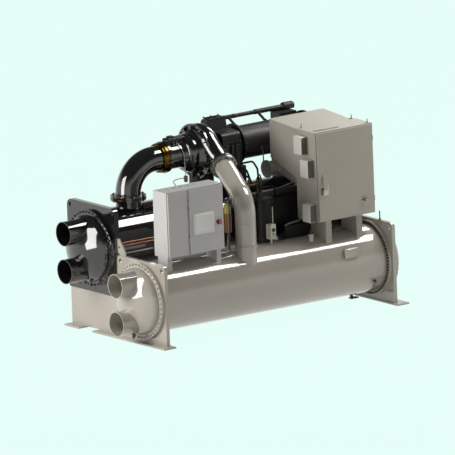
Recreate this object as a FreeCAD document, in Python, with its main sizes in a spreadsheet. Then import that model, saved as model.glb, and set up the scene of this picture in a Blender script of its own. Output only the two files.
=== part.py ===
import FreeCAD, Part
import math
import os
import re
import Sketcher

# Water-cooled centrifugal chiller on two end plates: a condenser low at the front, an evaporator
# higher at the back, the compressor and its motor on top, a control panel and a drive cabinet.
# X runs along the shells from the nozzle end, Y from front to back and Z up, in millimetres.
# Places are written from the near plate's outer face, the plates' front edge and the ground.

DIMENSIONS = (
    # End plates, tube sheets and feet
    ("tube_pitch", 3655, "near plate's outer face to the far plate's inner face"),
    ("plate_thickness", 50, "end plates"),
    ("plate_width", 2068, "end plates, front to back"),
    ("plate_height", 1080, "end plates at the condenser"),
    ("plate_split", 1035, "front edge to the evaporator's tube sheet"),
    ("plate_step", 516, "height of the plates below the evaporator"),
    ("plate_corner", 60, "rounding of the plates' top corners"),
    ("lug_width", 170, "lifting lug on the near plate, front to back"),
    ("lug_height", 210, "lifting lug"),
    ("lug_thickness", 22, "lifting lug"),
    ("lug_top", 34, "width of the lug's top"),
    ("lug_hole", 44, "diameter"),
    ("sheet_top", 1680, "top of the evaporator's tube sheets"),
    ("sheet_proud", 20, "tube sheet proud of the end plate"),
    ("sheet_corner", 90, "rounding of the tube sheets' top corners"),
    ("lifting_hole", 60, "diameter"),
    ("lifting_inset", 68, "lifting hole to the plate's edges"),
    ("foot_thickness", 22, "foot plates"),
    ("foot_outside", 115, "foot beyond the plate's outer face"),
    ("foot_inside", 25, "foot beyond the plate's inner face"),
    ("foot_front", 100, "front foot beyond the plate's edge"),
    ("foot_back", 22, "back foot beyond the plate's edge"),
    ("foot_front_length", 1580, "front foot"),
    ("foot_back_length", 310, "back foot"),
    ("anchor_hole", 29, "diameter"),
    ("anchor_inset", 57, "anchor hole to the foot's outer side and ends"),
    # Shells
    ("shell_wall", 12, "condenser shell"),
    ("condenser_back", 520, "condenser axis, from the front edge"),
    ("condenser_up", 553, "condenser axis above the ground"),
    ("condenser_radius", 440, "shell outside"),
    ("evaporator_back", 1550, "evaporator axis, from the front edge"),
    ("evaporator_up", 1097, "evaporator axis above the ground"),
    ("evaporator_radius", 475, "outside the insulation"),
    ("evaporator_wall", 32, "steel and insulation"),
    ("collar_radius", 498, "shell flanges at the plates"),
    ("collar_depth", 36, "shell flanges"),
    # Water boxes
    ("ring_radius", 508, "water box flanges"),
    ("ring_depth", 47, "water box flanges"),
    ("dome_radius", 440, "water box outside"),
    ("dome_depth", 235, "dished end beyond its flange"),
    ("dome_knuckle", 105, "small radius of the dished end"),
    ("dome_wall", 14, "dished end"),
    ("nozzle_radius", 161.95, "12 inch pipe, outside"),
    ("nozzle_wall", 9.5, "12 inch pipe"),
    ("nozzle_offset", 250, "above and below the shell's axis"),
    ("condenser_reach", 420, "nozzle mouths beyond the near plate"),
    ("evaporator_reach", 470, "nozzle mouths beyond the near plate"),
    ("nozzle_root", 45, "nozzle's inner end beyond its flange"),
    ("seat_gap", 0.3, "curved faces that seat on each other"),
    # Suction line
    ("suction_along", 590, "suction riser"),
    ("suction_neck", 96, "riser's lower flange above the evaporator"),
    ("suction_radius", 166, "suction pipe outside"),
    ("suction_wall", 10, "suction pipe"),
    ("suction_bend", 410, "bend radius of the suction elbow"),
    ("suction_flange_radius", 236, "flanges of the riser"),
    ("suction_flange_depth", 24, "flanges of the riser"),
    ("gasket_depth", 8, "riser gasket"),
    ("gasket_inset", 6, "gasket's edge inside its flanges' edge"),
    ("suction_end", 1108, "end of the suction elbow"),
    ("band_radius", 198, "inlet band"),
    ("band_depth", 44, "inlet band"),
    # Compressor
    ("vane_housing_end", 1570, "end of the guide vane housing"),
    ("vane_housing_radius", 176, "guide vane housing"),
    ("vane_flange_radius", 208, "its first flange"),
    ("vane_flange_depth", 34, "its flanges"),
    ("vane_cone_depth", 160, "cone at its far end"),
    ("volute_along", 1750, "centre plane of the volute"),
    ("volute_inner", 118, "inside of the volute's scroll"),
    ("volute_start", 62, "scroll's first section, radius"),
    ("volute_finish", 132, "scroll's last section, radius"),
    ("volute_outlet_angle", 140, "scroll's end, degrees up from the back"),
    ("volute_sweep", 318, "turn of the scroll, degrees"),
    ("volute_hub_radius", 250, "volute's body"),
    ("volute_disc_radius", 362, "front cover of the volute"),
    ("volute_disc_depth", 40, "front cover of the volute"),
    ("casing_start", 1910, "gear casing"),
    ("casing_end", 2200, "gear casing"),
    ("casing_front", 300, "compressor axis to the casing's front"),
    ("casing_below", 310, "compressor axis to the casing's bottom"),
    ("casing_width", 470, "gear casing, front to back"),
    ("casing_height", 680, "gear casing at its back"),
    ("casing_shoulder_width", 290, "lower front part of the casing"),
    ("casing_shoulder_height", 540, "lower front part of the casing"),
    ("casing_round", 64, "rounding of the casing's corners"),
    ("motor_radius", 218, "motor"),
    ("motor_end", 3420, "end of the motor"),
    ("motor_ring_along", 2300, "flange ring on the motor"),
    ("motor_ring_radius", 262, "flange ring on the motor"),
    ("motor_ring_depth", 30, "flange ring on the motor"),
    ("motor_cover_depth", 70, "end cover"),
    ("saddle_width", 420, "supports, front to back"),
    ("saddle_thickness", 60, "supports"),
    ("front_saddle_along", 2222, "first support"),
    ("back_saddle_along", 3050, "second support"),
    ("crossover_back", 1842, "crossover pipe, from the front edge"),
    ("crossover_rise", 285, "crossover pipe above the compressor axis"),
    ("crossover_radius", 20, "crossover pipe"),
    ("crossover_bend", 50, "bend radius of the crossover pipe"),
    ("crossover_inset", 80, "crossover pipe's seat to the casing's end"),
    ("crossover_wide_start", 2860, "wider stretch of the pipe"),
    ("crossover_wide_radius", 33, "wider stretch of the pipe"),
    ("crossover_end", 3390, "end of the pipe, inside its fitting"),
    ("crossover_cap_radius", 55, "rounded fitting on the pipe's end"),
    ("crossover_cap_length", 190, "rounded fitting, along the pipe"),
    ("crossover_cap_round", 32, "rounding of the fitting"),
    ("strut_radius", 11, "struts from the pipe to the motor"),
    ("strut_first", 2440, "first strut"),
    ("strut_spacing", 470, "between the struts"),
    ("strut_angle", 58, "strut's seat on the motor, degrees up from the back"),
    ("terminal_start", 3130, "motor terminal box"),
    ("terminal_end", 3400, "motor terminal box"),
    ("terminal_front", 1655, "motor terminal box, from the front edge"),
    ("terminal_back", 1860, "motor terminal box"),
    ("oil_radius", 13, "oil pipes"),
    ("oil_bend", 70, "bend radius of the oil pipes"),
    ("oil_drop", 242, "first oil pipe below the compressor axis"),
    ("oil_run", 210, "level run of the first oil pipe"),
    ("oil_fall", 110, "slanted fall of the first oil pipe"),
    ("oil_spacing", 70, "second oil pipe below the first"),
    # Discharge line
    ("discharge_radius", 136.5, "10 inch pipe, outside"),
    ("discharge_wall", 9.3, "10 inch pipe"),
    ("discharge_along", 1550, "vertical run"),
    ("discharge_back", 312, "vertical run, from the front edge"),
    ("discharge_flange_along", 1762, "outlet flange"),
    ("discharge_flange_back", 1021, "outlet flange, from the front edge"),
    ("discharge_flange_drop", 152, "outlet flange below the compressor axis"),
    ("discharge_fall", 298, "fall from the flange to the corner"),
    ("discharge_bend", 300, "bend radius of the elbow"),
    ("discharge_flange_radius", 172, "outlet flange"),
    ("discharge_flange_depth", 46, "outlet flange"),
    ("discharge_lip_rise", 82, "lip of the lower stub above the condenser"),
    ("discharge_lip_radius", 152, "lip of the lower stub"),
    ("discharge_lip_depth", 18, "lip of the lower stub"),
    # Control panel
    ("panel_start", 250, "left side"),
    ("panel_end", 1145, "right side"),
    ("panel_front", 248, "front, from the plates' front edge"),
    ("panel_back", 540, "back"),
    ("panel_rise", 113, "bottom above the condenser"),
    ("panel_height", 866, "height"),
    ("panel_seam", 565, "seam between the fixed panel and the door"),
    ("sheet_metal", 4, "cabinet walls"),
    ("door_depth", 26, "doors"),
    ("door_gap", 5, "door to its cabinet"),
    ("door_margin", 12, "door's edge to the cabinet's edge"),
    ("door_rim", 40, "rim round a door's opening"),
    ("hinge_radius", 8, "hinge barrels"),
    ("pin_radius", 3.5, "hinge pins"),
    ("pin_gap", 0.1, "hinge pins in their barrels"),
    ("hinge_knuckle", 34, "length of a hinge knuckle"),
    ("hinge_inset", 150, "hinge to the door's end"),
    ("screen_width", 330, "operator's screen"),
    ("screen_height", 280, "operator's screen"),
    ("screen_depth", 8, "operator's screen"),
    ("screen_inset", 60, "screen to the door's left edge"),
    ("screen_drop", 334, "screen below the panel's top"),
    ("handle_width", 44, "panel handle"),
    ("handle_height", 60, "panel handle"),
    ("handle_depth", 34, "panel handle"),
    ("handle_inset", 63, "panel handle to the panel's right side"),
    ("handle_drop", 463, "panel handle below the panel's top"),
    ("panel_leg_width", 70, "legs under the panel"),
    ("panel_leg_inset", 20, "legs to the panel's sides"),
    ("panel_leg_setback", 40, "legs behind the panel's front"),
    # Drive cabinet
    ("drive_start", 2630, "left side"),
    ("drive_end", 3545, "right side"),
    ("drive_front", 200, "front, from the plates' front edge"),
    ("drive_back", 640, "back"),
    ("drive_rise", 222, "bottom above the condenser"),
    ("drive_height", 1185, "height"),
    ("latch_width", 60, "latch plate"),
    ("latch_height", 190, "latch plate"),
    ("latch_depth", 30, "latch handle"),
    ("latch_inset", 70, "latch to the cabinet's left side"),
    ("latch_drop", 570, "latch below the cabinet's top"),
    ("hood_back", 1200, "back of the rear hood"),
    ("hood_inset", 50, "rear hood to the cabinet's right side"),
    ("hood_rise", 43, "back of the hood's top above the cabinet's top"),
    ("hood_front_drop", 660, "front of the hood's bottom below the cabinet's top"),
    ("hood_back_drop", 470, "back of the hood's bottom below the cabinet's top"),
    ("cowl_depth", 100, "side cowls"),
    ("cowl_width", 172, "side cowls"),
    ("cowl_height", 240, "side cowls"),
    ("upper_cowl_setback", 185, "upper cowl behind the cabinet's front"),
    ("upper_cowl_drop", 310, "upper cowl's bottom below the cabinet's top"),
    ("middle_cowl_setback", 60, "middle cowl behind the cabinet's front"),
    ("middle_cowl_drop", 600, "middle cowl's bottom below the cabinet's top"),
    ("lower_cowl_setback", 40, "lower cowl behind the cabinet's front"),
    ("drive_leg_width", 90, "legs under the drive cabinet"),
    ("drive_leg_start", 2790, "first leg"),
    ("drive_leg_end", 3370, "right edge of the second leg"),
    ("drive_leg_setback", 55, "legs behind the cabinet's front"),
    ("duct_radius", 96, "cable duct"),
    ("duct_bend", 120, "bend radius of the cable duct"),
    ("duct_along", 2480, "cable duct's flange"),
    ("duct_back", 1100, "cable duct's flange, from the front edge"),
    ("duct_drop", 587, "cable duct below the cabinet's top"),
    ("duct_flange_radius", 116, "cable duct's flange"),
    ("duct_flange_depth", 24, "cable duct's flange"),
    # Liquid side
    ("economizer_start", 1990, "economizer box"),
    ("economizer_end", 2960, "economizer box"),
    ("economizer_front", 770, "economizer box"),
    ("economizer_back", 1050, "economizer box"),
    ("economizer_rise", 7, "economizer above the condenser"),
    ("economizer_height", 500, "economizer box"),
    ("economizer_leg_width", 70, "legs under the economizer"),
    ("economizer_leg_depth", 80, "legs under the economizer"),
    ("economizer_leg_inset", 90, "legs to the economizer's ends"),
    ("economizer_leg_setback", 10, "legs behind the economizer's front"),
    ("rail_height", 80, "rail on the economizer"),
    ("rail_width", 90, "rail on the economizer"),
    ("rail_inset", 30, "rail to the economizer's ends"),
    ("drum_along", 2112, "float drum"),
    ("drum_back", 650, "float drum"),
    ("drum_radius", 104, "float drum"),
    ("drum_rise", 567, "float drum's top above the condenser"),
    ("valve_radius", 18, "brass valves"),
    ("valve_height", 165, "brass valves"),
    ("valve_inset", 71, "first valve to the economizer's end"),
    ("valve_spacing", 183, "between the brass valves"),
    ("filter_along", 1448, "liquid filter"),
    ("filter_back", 560, "liquid filter"),
    ("filter_radius", 50, "liquid filter"),
    ("filter_rise", 233, "liquid filter above the condenser"),
    ("filter_height", 252, "liquid filter"),
    ("filter_cap", 106, "its cap"),
    ("filter_head", 78, "head above its cap"),
    ("filter_head_radius", 32, "head above its cap"),
    ("level_along", 2027, "level valve's body"),
    ("level_back", 430, "level valve's body, from the front edge"),
    ("level_width", 90, "level valve's body"),
    ("level_rise", 58, "level valve's body above the condenser"),
    ("level_height", 192, "level valve's body"),
    ("level_stem_radius", 14, "stem below the level valve"),
    ("level_rod_radius", 6, "rod above the level valve"),
    ("level_rod_height", 225, "rod above the level valve"),
    ("cooler_start", 2384, "oil cooler"),
    ("cooler_end", 2770, "oil cooler"),
    ("cooler_front", 590, "oil cooler, from the front edge"),
    ("cooler_back", 760, "oil cooler"),
    ("cooler_rise", 155, "oil cooler's top above the condenser"),
    ("copper_radius", 11, "copper tubes"),
    ("copper_inset", 0.5, "copper tubes behind the tube sheet's front edge"),
    ("copper_up", 1175, "lower copper tube"),
    ("copper_spacing", 38, "between the copper tubes"),
    ("copper_end", 1500, "end of the copper tubes"),
)

SIZES = {name: value for name, value, note in DIMENSIONS}
NODES = []
WORD = re.compile(r"[a-z]\w*")

# Driving places that several pieces share
DOME_END = "(ring_depth + dome_depth)"
FAR_END = f"(tube_pitch + plate_thickness + sheet_proud + {DOME_END})"
ORIGIN_X = f"((evaporator_reach - {FAR_END}) / 2)"
ORIGIN_Y = "((foot_front - foot_back - plate_width) / 2)"
CONDENSER_TOP = "(condenser_up + condenser_radius)"
STUB_TOP = "(evaporator_up + evaporator_radius + suction_neck)"
ELBOW_LOW = f"({STUB_TOP} + gasket_depth)"
COMPRESSOR_UP = f"({ELBOW_LOW} + suction_flange_depth + suction_bend)"
AXIS = ("evaporator_back", COMPRESSOR_UP)
SCROLL_STEPS = 14
OUTLET_STEPS = 4
NECK_STEP = 3
DISCHARGE_FLANGE_UP = f"({COMPRESSOR_UP} - discharge_flange_drop)"
PANEL_BOTTOM = f"({CONDENSER_TOP} + panel_rise)"
PANEL_TOP = f"({PANEL_BOTTOM} + panel_height)"
DRIVE_BOTTOM = f"({CONDENSER_TOP} + drive_rise)"
DRIVE_TOP = f"({DRIVE_BOTTOM} + drive_height)"
ECONOMIZER_BOTTOM = f"({CONDENSER_TOP} + economizer_rise)"
ECONOMIZER_TOP = f"({ECONOMIZER_BOTTOM} + economizer_height)"

doc = FreeCAD.newDocument("water_cooled_chiller")
sheet = doc.addObject("Spreadsheet::Sheet", "Sizes")
for row, (name, size, note) in enumerate(DIMENSIONS, start=1):
    sheet.set(f"A{row}", note)
    sheet.set(f"B{row}", str(size))
    sheet.setAlias(f"B{row}", name)
doc.recompute()


def formula(text):
    """Points each size that a formula names at its cell."""
    return WORD.sub(lambda word: "Sizes." + word[0] if word[0] in SIZES else word[0], text)


def number(text):
    """The present value of a formula."""
    return float(sheet.evalExpression(text))


def bind(thing, **texts):
    for name, text in texts.items():
        thing.setExpression(name, formula(text))
    return thing


def place(thing, along, back, up, turn=None):
    """Puts a thing at a place measured from the near plate, the front edge and the ground."""
    if turn:
        thing.Placement = FreeCAD.Placement(FreeCAD.Vector(), turn)
    thing.setExpression(".Placement.Base.x", formula(f"{ORIGIN_X} + {along}"))
    thing.setExpression(".Placement.Base.y", formula(f"{ORIGIN_Y} + {back}"))
    thing.setExpression(".Placement.Base.z", formula(up))
    return thing


def turned(axis, angle):
    return FreeCAD.Rotation(FreeCAD.Vector(*axis), angle)


TO_X = turned((0, 1, 0), 90)
UPWARDS = turned((0, 1, 0), -90)
BACKWARDS = turned((0, 0, 1), 180)


def box(name, along, back, up):
    """A box between two planes each way."""
    solid = bind(doc.addObject("Part::Box", name), Length=f"{along[1]} - ({along[0]})",
                 Width=f"{back[1]} - ({back[0]})", Height=f"{up[1]} - ({up[0]})")
    return place(solid, along[0], back[0], up[0])


def cylinder(name, start, radius, length, turn=None):
    """A cylinder from its start along Z, or along X or Y with a turn."""
    solid = bind(doc.addObject("Part::Cylinder", name), Radius=radius, Height=length)
    return place(solid, *start, turn=turn)


def join(name, *things):
    whole = doc.addObject("Part::MultiFuse", name)
    whole.Shapes = list(things)
    return whole


def group(name, *things):
    """Like pieces that don't touch, in one node."""
    whole = doc.addObject("Part::Compound", name)
    whole.Links = list(things)
    return whole


def cut(name, thing, *tools):
    rest = doc.addObject("Part::Cut", name)
    rest.Base = thing
    rest.Tool = tools[0] if len(tools) == 1 else join(name + "_tools", *tools)
    return rest


def tube(name, start, radius, wall, length, turn=None):
    """An open pipe or ring."""
    outside = cylinder(name + "_outside", start, radius, length, turn)
    inside = cylinder(name + "_inside", start, f"{radius} - ({wall})", length, turn)
    return cut(name, outside, inside)


def keep(thing, node=None):
    """Makes a thing one of the part's nodes."""
    if node:
        thing.Label = node
    NODES.append(thing)
    return thing


def arc_between(start, end, radius):
    """The short arc from start to end, bulging to the right of the way for a positive radius."""
    chord = end - start
    right = FreeCAD.Vector(chord.y, -chord.x, 0).normalize()
    height = math.sqrt(max(radius ** 2 - (chord.Length / 2) ** 2, 0))
    centre = (start + end) / 2 - right * math.copysign(height, radius)
    ends = [math.atan2(spot.y - centre.y, spot.x - centre.x) for spot in (start, end)]
    if radius < 0:
        ends.reverse()
    circle = Part.Circle(centre, FreeCAD.Vector(0, 0, 1), abs(radius))
    return Part.ArcOfCircle(circle, ends[0], ends[1])


def outline(body, role, corners):
    """A closed outline whose every corner is held by its distances from the body's axes.

    A corner is two formulas; a third gives the radius of an arc that arrives there.
    """
    sketch = body.newObject("Sketcher::SketchObject", body.Name + "_outline")
    plane = next(axis for axis in body.Origin.OriginFeatures if axis.Role == role)
    sketch.AttachmentSupport = [(plane, "")]
    sketch.MapMode = "FlatFace"
    spots = [FreeCAD.Vector(number(corner[0]), number(corner[1]), 0) for corner in corners]
    starts, ends = [], []
    for index, corner in enumerate(corners):
        start, end = spots[index - 1], spots[index]
        backwards = False
        if len(corner) == 3:
            radius = number(corner[2])
            backwards = radius < 0
            edge = sketch.addGeometry(arc_between(start, end, radius))
            limit = sketch.addConstraint(Sketcher.Constraint("Radius", edge, abs(radius)))
            sketch.setExpression(f"Constraints[{limit}]", formula(f"abs({corner[2]})"))
        else:
            edge = sketch.addGeometry(Part.LineSegment(start, end))
        starts.append((edge, 2 if backwards else 1))
        ends.append((edge, 1 if backwards else 2))
    for index, corner in enumerate(corners):
        following = starts[(index + 1) % len(corners)]
        sketch.addConstraint(Sketcher.Constraint("Coincident", *ends[index], *following))
        for kind, axis, text, size in (("DistanceX", -2, corner[0], spots[index].x),
                                       ("DistanceY", -1, corner[1], spots[index].y)):
            if text == "0":
                sketch.addConstraint(Sketcher.Constraint("PointOnObject", *ends[index], axis))
                continue
            limit = sketch.addConstraint(Sketcher.Constraint(kind, -1, 1, *ends[index], size))
            sketch.setExpression(f"Constraints[{limit}]", formula(text))
    return sketch


def padded(name, role, corners, length, start):
    """An outline drawn across one of the body's planes and given a thickness."""
    body = doc.addObject("PartDesign::Body", name)
    pad = body.newObject("PartDesign::Pad", name + "_pad")
    pad.Profile = outline(body, role, corners)
    bind(pad, Length=length)
    return place(body, *start)


def lathed(name, corners, start, turn=None):
    """An outline of (along, radius) corners, revolved about its first axis."""
    body = doc.addObject("PartDesign::Body", name)
    sketch = outline(body, "XY_Plane", corners)
    revolution = body.newObject("PartDesign::Revolution", name + "_revolution")
    revolution.Profile = sketch
    revolution.ReferenceAxis = (sketch, ["H_Axis"])
    revolution.Angle = 360
    return place(body, *start, turn=turn)


def on_condenser(name, thing):
    """Cuts a piece that stands on the condenser to the shell's curve."""
    seat = cylinder(name + "_seat", ("0", "condenser_back", "condenser_up"),
                    "condenser_radius + seat_gap", "tube_pitch", TO_X)
    return cut(name, thing, seat)


def spot(along, back, up):
    """A vector for the shapes that are made from points."""
    return FreeCAD.Vector(number(along), number(back), number(up))


def set_down(name, shape):
    """Keeps a shape that was made from points, then moves it to the part's origin."""
    feature = doc.addObject("Part::Feature", name)
    feature.Shape = shape
    feature.Placement = FreeCAD.Placement(spot(ORIGIN_X, ORIGIN_Y, "0"), FreeCAD.Rotation())
    return feature


def route(stops, bend):
    """A wire through the stops with its corners rounded to a bend radius."""
    edges, last = [], stops[0]
    for before, corner, after in zip(stops, stops[1:], stops[2:]):
        arriving = (corner - before).normalize()
        leaving = (after - corner).normalize()
        turn = arriving.getAngle(leaving)
        reach = bend * math.tan(turn / 2)
        middle = (leaving - arriving).normalize() * bend * (1 / math.cos(turn / 2) - 1)
        start, end = corner - arriving * reach, corner + leaving * reach
        if (start - last).Length > 1e-6:
            edges.append(Part.LineSegment(last, start).toShape())
        edges.append(Part.Arc(start, corner + middle, end).toShape())
        last = end
    if (stops[-1] - last).Length > 1e-6:
        edges.append(Part.LineSegment(last, stops[-1]).toShape())
    return Part.Wire(edges)


def swept(path, start, heading, radius):
    ring = Part.Wire(Part.makeCircle(radius, start, heading))
    return path.makePipeShell([ring], True, False)


def pipe_shape(stops, bend, radius, wall=None):
    """A bent pipe, solid or with a wall."""
    path = route(stops, bend)
    heading = (stops[1] - stops[0]).normalize()
    shape = swept(path, stops[0], heading, radius)
    return shape.cut(swept(path, stops[0], heading, radius - wall)) if wall else shape


# End plates

def end_plate(name, along):
    corners = [("0", "foot_thickness"), ("plate_width", "foot_thickness"),
               ("plate_width", "plate_step"), ("plate_split", "plate_step"),
               ("plate_split", "plate_height - plate_corner"),
               ("plate_split - plate_corner", "plate_height", "plate_corner"),
               ("plate_corner", "plate_height"),
               ("0", "plate_height - plate_corner", "plate_corner")]
    blank = padded(name + "_blank", "YZ_Plane", corners, "plate_thickness", (along, "0", "0"))
    holes = [cylinder(f"{name}_hole_{side}", (along, back, "plate_height - lifting_inset"),
                      "lifting_hole / 2", "plate_thickness", TO_X)
             for side, back in (("front", "lifting_inset"), ("back", "plate_split - lifting_inset"))]
    return keep(cut(name, blank, *holes))


def tube_sheet(name, along):
    corners = [("plate_split", "plate_step"), ("plate_width", "plate_step"),
               ("plate_width", "sheet_top - sheet_corner"),
               ("plate_width - sheet_corner", "sheet_top", "sheet_corner"),
               ("plate_split + sheet_corner", "sheet_top"),
               ("plate_split", "sheet_top - sheet_corner", "sheet_corner")]
    length = "plate_thickness + sheet_proud"
    blank = padded(name + "_blank", "YZ_Plane", corners, length, (along, "0", "0"))
    holes = [cylinder(f"{name}_hole_{side}", (along, back, "sheet_top - lifting_inset"),
                      "lifting_hole / 2", length, TO_X)
             for side, back in (("front", "plate_split + lifting_inset"),
                                ("back", "plate_width - lifting_inset"))]
    return keep(cut(name, blank, *holes))


def foot_plates(name, low, high, hole):
    """The front and back foot plates below one end plate, each with two anchor holes."""
    plates = []
    for side, start, length in (("front", "-foot_front", "foot_front_length"),
                                ("back", "plate_width + foot_back - foot_back_length",
                                 "foot_back_length")):
        end = f"{start} + {length}"
        slab = box(f"{name}_{side}_slab", (low, high), (start, end), ("0", "foot_thickness"))
        holes = [cylinder(f"{name}_{side}_hole_{place_name}", (hole, back, "0"),
                          "anchor_hole / 2", "foot_thickness")
                 for place_name, back in (("first", f"{start} + anchor_inset"),
                                          ("last", f"{end} - anchor_inset"))]
        plates.append(cut(f"{name}_{side}", slab, *holes))
    return plates


def lifting_lug():
    """A three-cornered lug on the near plate's top, in the corner of the tube sheet."""
    front = "plate_split - lug_width"
    top = "plate_height + lug_height"
    corners = [(front, "plate_height"), ("plate_split - plate_corner", "plate_height"),
               ("plate_split - lug_hole / 10", f"plate_height + plate_corner / 2"),
               ("plate_split - lug_hole / 10", top), ("plate_split - lug_top", top),
               (front, "plate_height + lug_top")]
    start = "(plate_thickness - lug_thickness) / 2"
    blank = padded("lifting_lug_blank", "YZ_Plane", corners, "lug_thickness", (start, "0", "0"))
    hole = cylinder("lifting_lug_hole", (start, "plate_split - lug_hole", "plate_height + lug_height * 0.45"),
                    "lug_hole / 2", "lug_thickness", TO_X)
    keep(cut("lifting_lug", blank, hole))


def shells():
    """Two shells between the end plates, each with a bolted collar at both of its ends."""
    collars = []
    for vessel, wall in (("condenser", "shell_wall"), ("evaporator", "evaporator_wall")):
        axis = (f"{vessel}_back", f"{vessel}_up")
        radius = f"{vessel}_radius"
        keep(tube(f"{vessel}_shell", ("plate_thickness", *axis), radius, wall,
                  "tube_pitch - plate_thickness", TO_X))
        for side, along in (("near", "plate_thickness"), ("far", "tube_pitch - collar_depth")):
            collars.append(tube(f"{vessel}_{side}_collar", (along, *axis), "collar_radius",
                                f"collar_radius - {radius} - seat_gap", "collar_depth", TO_X))
    keep(group("shell_collars", *collars))


# Water boxes

CROWN = ("((dome_depth ^ 2 + (dome_radius - dome_knuckle) ^ 2 - dome_knuckle ^ 2)"
         " / (2 * (dome_depth - dome_knuckle)))")


def dome_point(inset):
    """Where the small radius meets the large one, on the outside or inset by the wall."""
    crown = f"({CROWN} - {inset})"
    share = f"({crown} / ({CROWN} - dome_knuckle))"
    along = f"ring_depth + dome_depth - {CROWN} + ({CROWN} - dome_depth) * {share}"
    return along, f"(dome_radius - dome_knuckle) * {share}"


def water_box(name, start, turn=None):
    """A flange ring and a hollow dished end."""
    inside = "dome_radius - dome_wall"
    corners = [("0", inside), ("0", "ring_radius"), ("ring_depth", "ring_radius"),
               ("ring_depth", "dome_radius"), (*dome_point("0"), "-dome_knuckle"),
               (DOME_END, "0", f"-{CROWN}"), (f"{DOME_END} - dome_wall", "0"),
               (*dome_point("dome_wall"), f"{CROWN} - dome_wall"),
               ("ring_depth", inside, "dome_knuckle - dome_wall")]
    return lathed(name, corners, start, turn)


def inlet_box(name, proud, reach, back, up):
    """The near water box with its two nozzles."""
    box_body = water_box(name + "_water_box", (f"-{proud}", back, up), BACKWARDS)
    holes, nozzles = [], []
    for level, height in (("upper", f"{up} + nozzle_offset"), ("lower", f"{up} - nozzle_offset")):
        start = (f"-{reach}", back, height)
        length = f"{reach} - {proud} - ring_depth - nozzle_root"
        holes.append(cylinder(f"{name}_{level}_hole", start, "nozzle_radius + seat_gap", length, TO_X))
        nozzles.append(tube(f"{name}_{level}_nozzle", start, "nozzle_radius", "nozzle_wall", length, TO_X))
    keep(group(name + "_nozzles", *nozzles))
    return keep(cut(name + "_inlet_box", box_body, *holes))


# Suction line

def suction_line():
    """The riser from the evaporator, its elbow and the band that clamps the elbow's end."""
    start = ("suction_along", "evaporator_back", "evaporator_up")
    top = f"({STUB_TOP} - evaporator_up)"
    bore = "suction_radius - suction_wall"
    profile = [("0", bore), ("0", "suction_radius"),
               (f"{top} - suction_flange_depth", "suction_radius"),
               (f"{top} - suction_flange_depth", "suction_flange_radius"),
               (top, "suction_flange_radius"), (top, bore)]
    stub = lathed("suction_stub_blank", profile, start, UPWARDS)
    seat = cylinder("suction_stub_seat", ("0", "evaporator_back", "evaporator_up"),
                    "evaporator_radius + seat_gap", "tube_pitch", TO_X)
    keep(cut("suction_stub", stub, seat))
    keep(tube("suction_gasket", ("suction_along", "evaporator_back", STUB_TOP),
              "suction_flange_radius - gasket_inset",
              f"suction_flange_radius - gasket_inset - ({bore})", "gasket_depth"))
    stops = [spot("suction_along", "evaporator_back", ELBOW_LOW),
             spot("suction_along", *AXIS), spot("suction_end", *AXIS)]
    shape = pipe_shape(stops, number("suction_bend"), number("suction_radius"), number("suction_wall"))
    depth = number("suction_flange_depth")
    flange = Part.makeCylinder(number("suction_flange_radius"), depth, stops[0])
    flange = flange.cut(Part.makeCylinder(number("suction_radius"), depth, stops[0]))
    keep(set_down("suction_elbow", shape.fuse(flange).removeSplitter()))
    keep(tube("inlet_band", ("suction_end", *AXIS), "band_radius", f"band_radius - ({bore})",
              "band_depth", TO_X))


# Compressor and motor

def guide_vane_housing():
    length = "(vane_housing_end - suction_end - band_depth)"
    far_flange = "vane_flange_radius + vane_flange_depth"
    corners = [("0", "0"), ("0", "vane_flange_radius"), ("vane_flange_depth", "vane_flange_radius"),
               ("vane_flange_depth", "vane_housing_radius"),
               (f"{length} - vane_flange_depth - vane_cone_depth", "vane_housing_radius"),
               (f"{length} - vane_flange_depth", "vane_flange_radius"),
               (f"{length} - vane_flange_depth", far_flange), (length, far_flange), (length, "0")]
    keep(lathed("guide_vane_housing", corners, ("suction_end + band_depth", *AXIS)))


def scroll_ring(share):
    """Centre, heading and radius of the scroll's section at a share of its turn."""
    angle = math.radians(number("volute_outlet_angle") - number("volute_sweep") * (1 - share))
    radius = number("volute_start") + number("volute_finish - volute_start") * share
    outward = FreeCAD.Vector(0, math.cos(angle), math.sin(angle))
    centre = spot("volute_along", *AXIS) + outward * (number("volute_inner") + radius)
    return centre, FreeCAD.Vector(0, -math.sin(angle), math.cos(angle)), radius


def outlet_flange():
    """Front centre and heading of the outlet flange, and the corner that the pipe runs to."""
    flange = spot("discharge_flange_along", "discharge_flange_back", DISCHARGE_FLANGE_UP)
    corner = spot("discharge_along", "discharge_back", f"{DISCHARGE_FLANGE_UP} - discharge_fall")
    return flange, (flange - corner).normalize(), corner


def outlet_rings():
    """Round sections along a smooth curve from the scroll's end to the outlet flange."""
    flange, heading, corner = outlet_flange()
    back = flange + heading * number("discharge_flange_depth")
    start, start_heading, start_radius = scroll_ring(1)
    reach = (back - start).Length / 3
    curve = Part.BezierCurve()
    curve.setPoles([start, start + start_heading * reach, back + heading * reach, back])
    rings = []
    for step in range(OUTLET_STEPS + 1):
        share = step / OUTLET_STEPS
        radius = start_radius + (number("discharge_radius") - start_radius) * share
        rings.append((curve.value(share), curve.tangent(share)[0], radius))
    return rings


def lofted(rings):
    """A solid through round sections."""
    return Part.makeLoft([Part.Wire(Part.makeCircle(radius, centre, heading))
                          for centre, heading, radius in rings], True)


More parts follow.
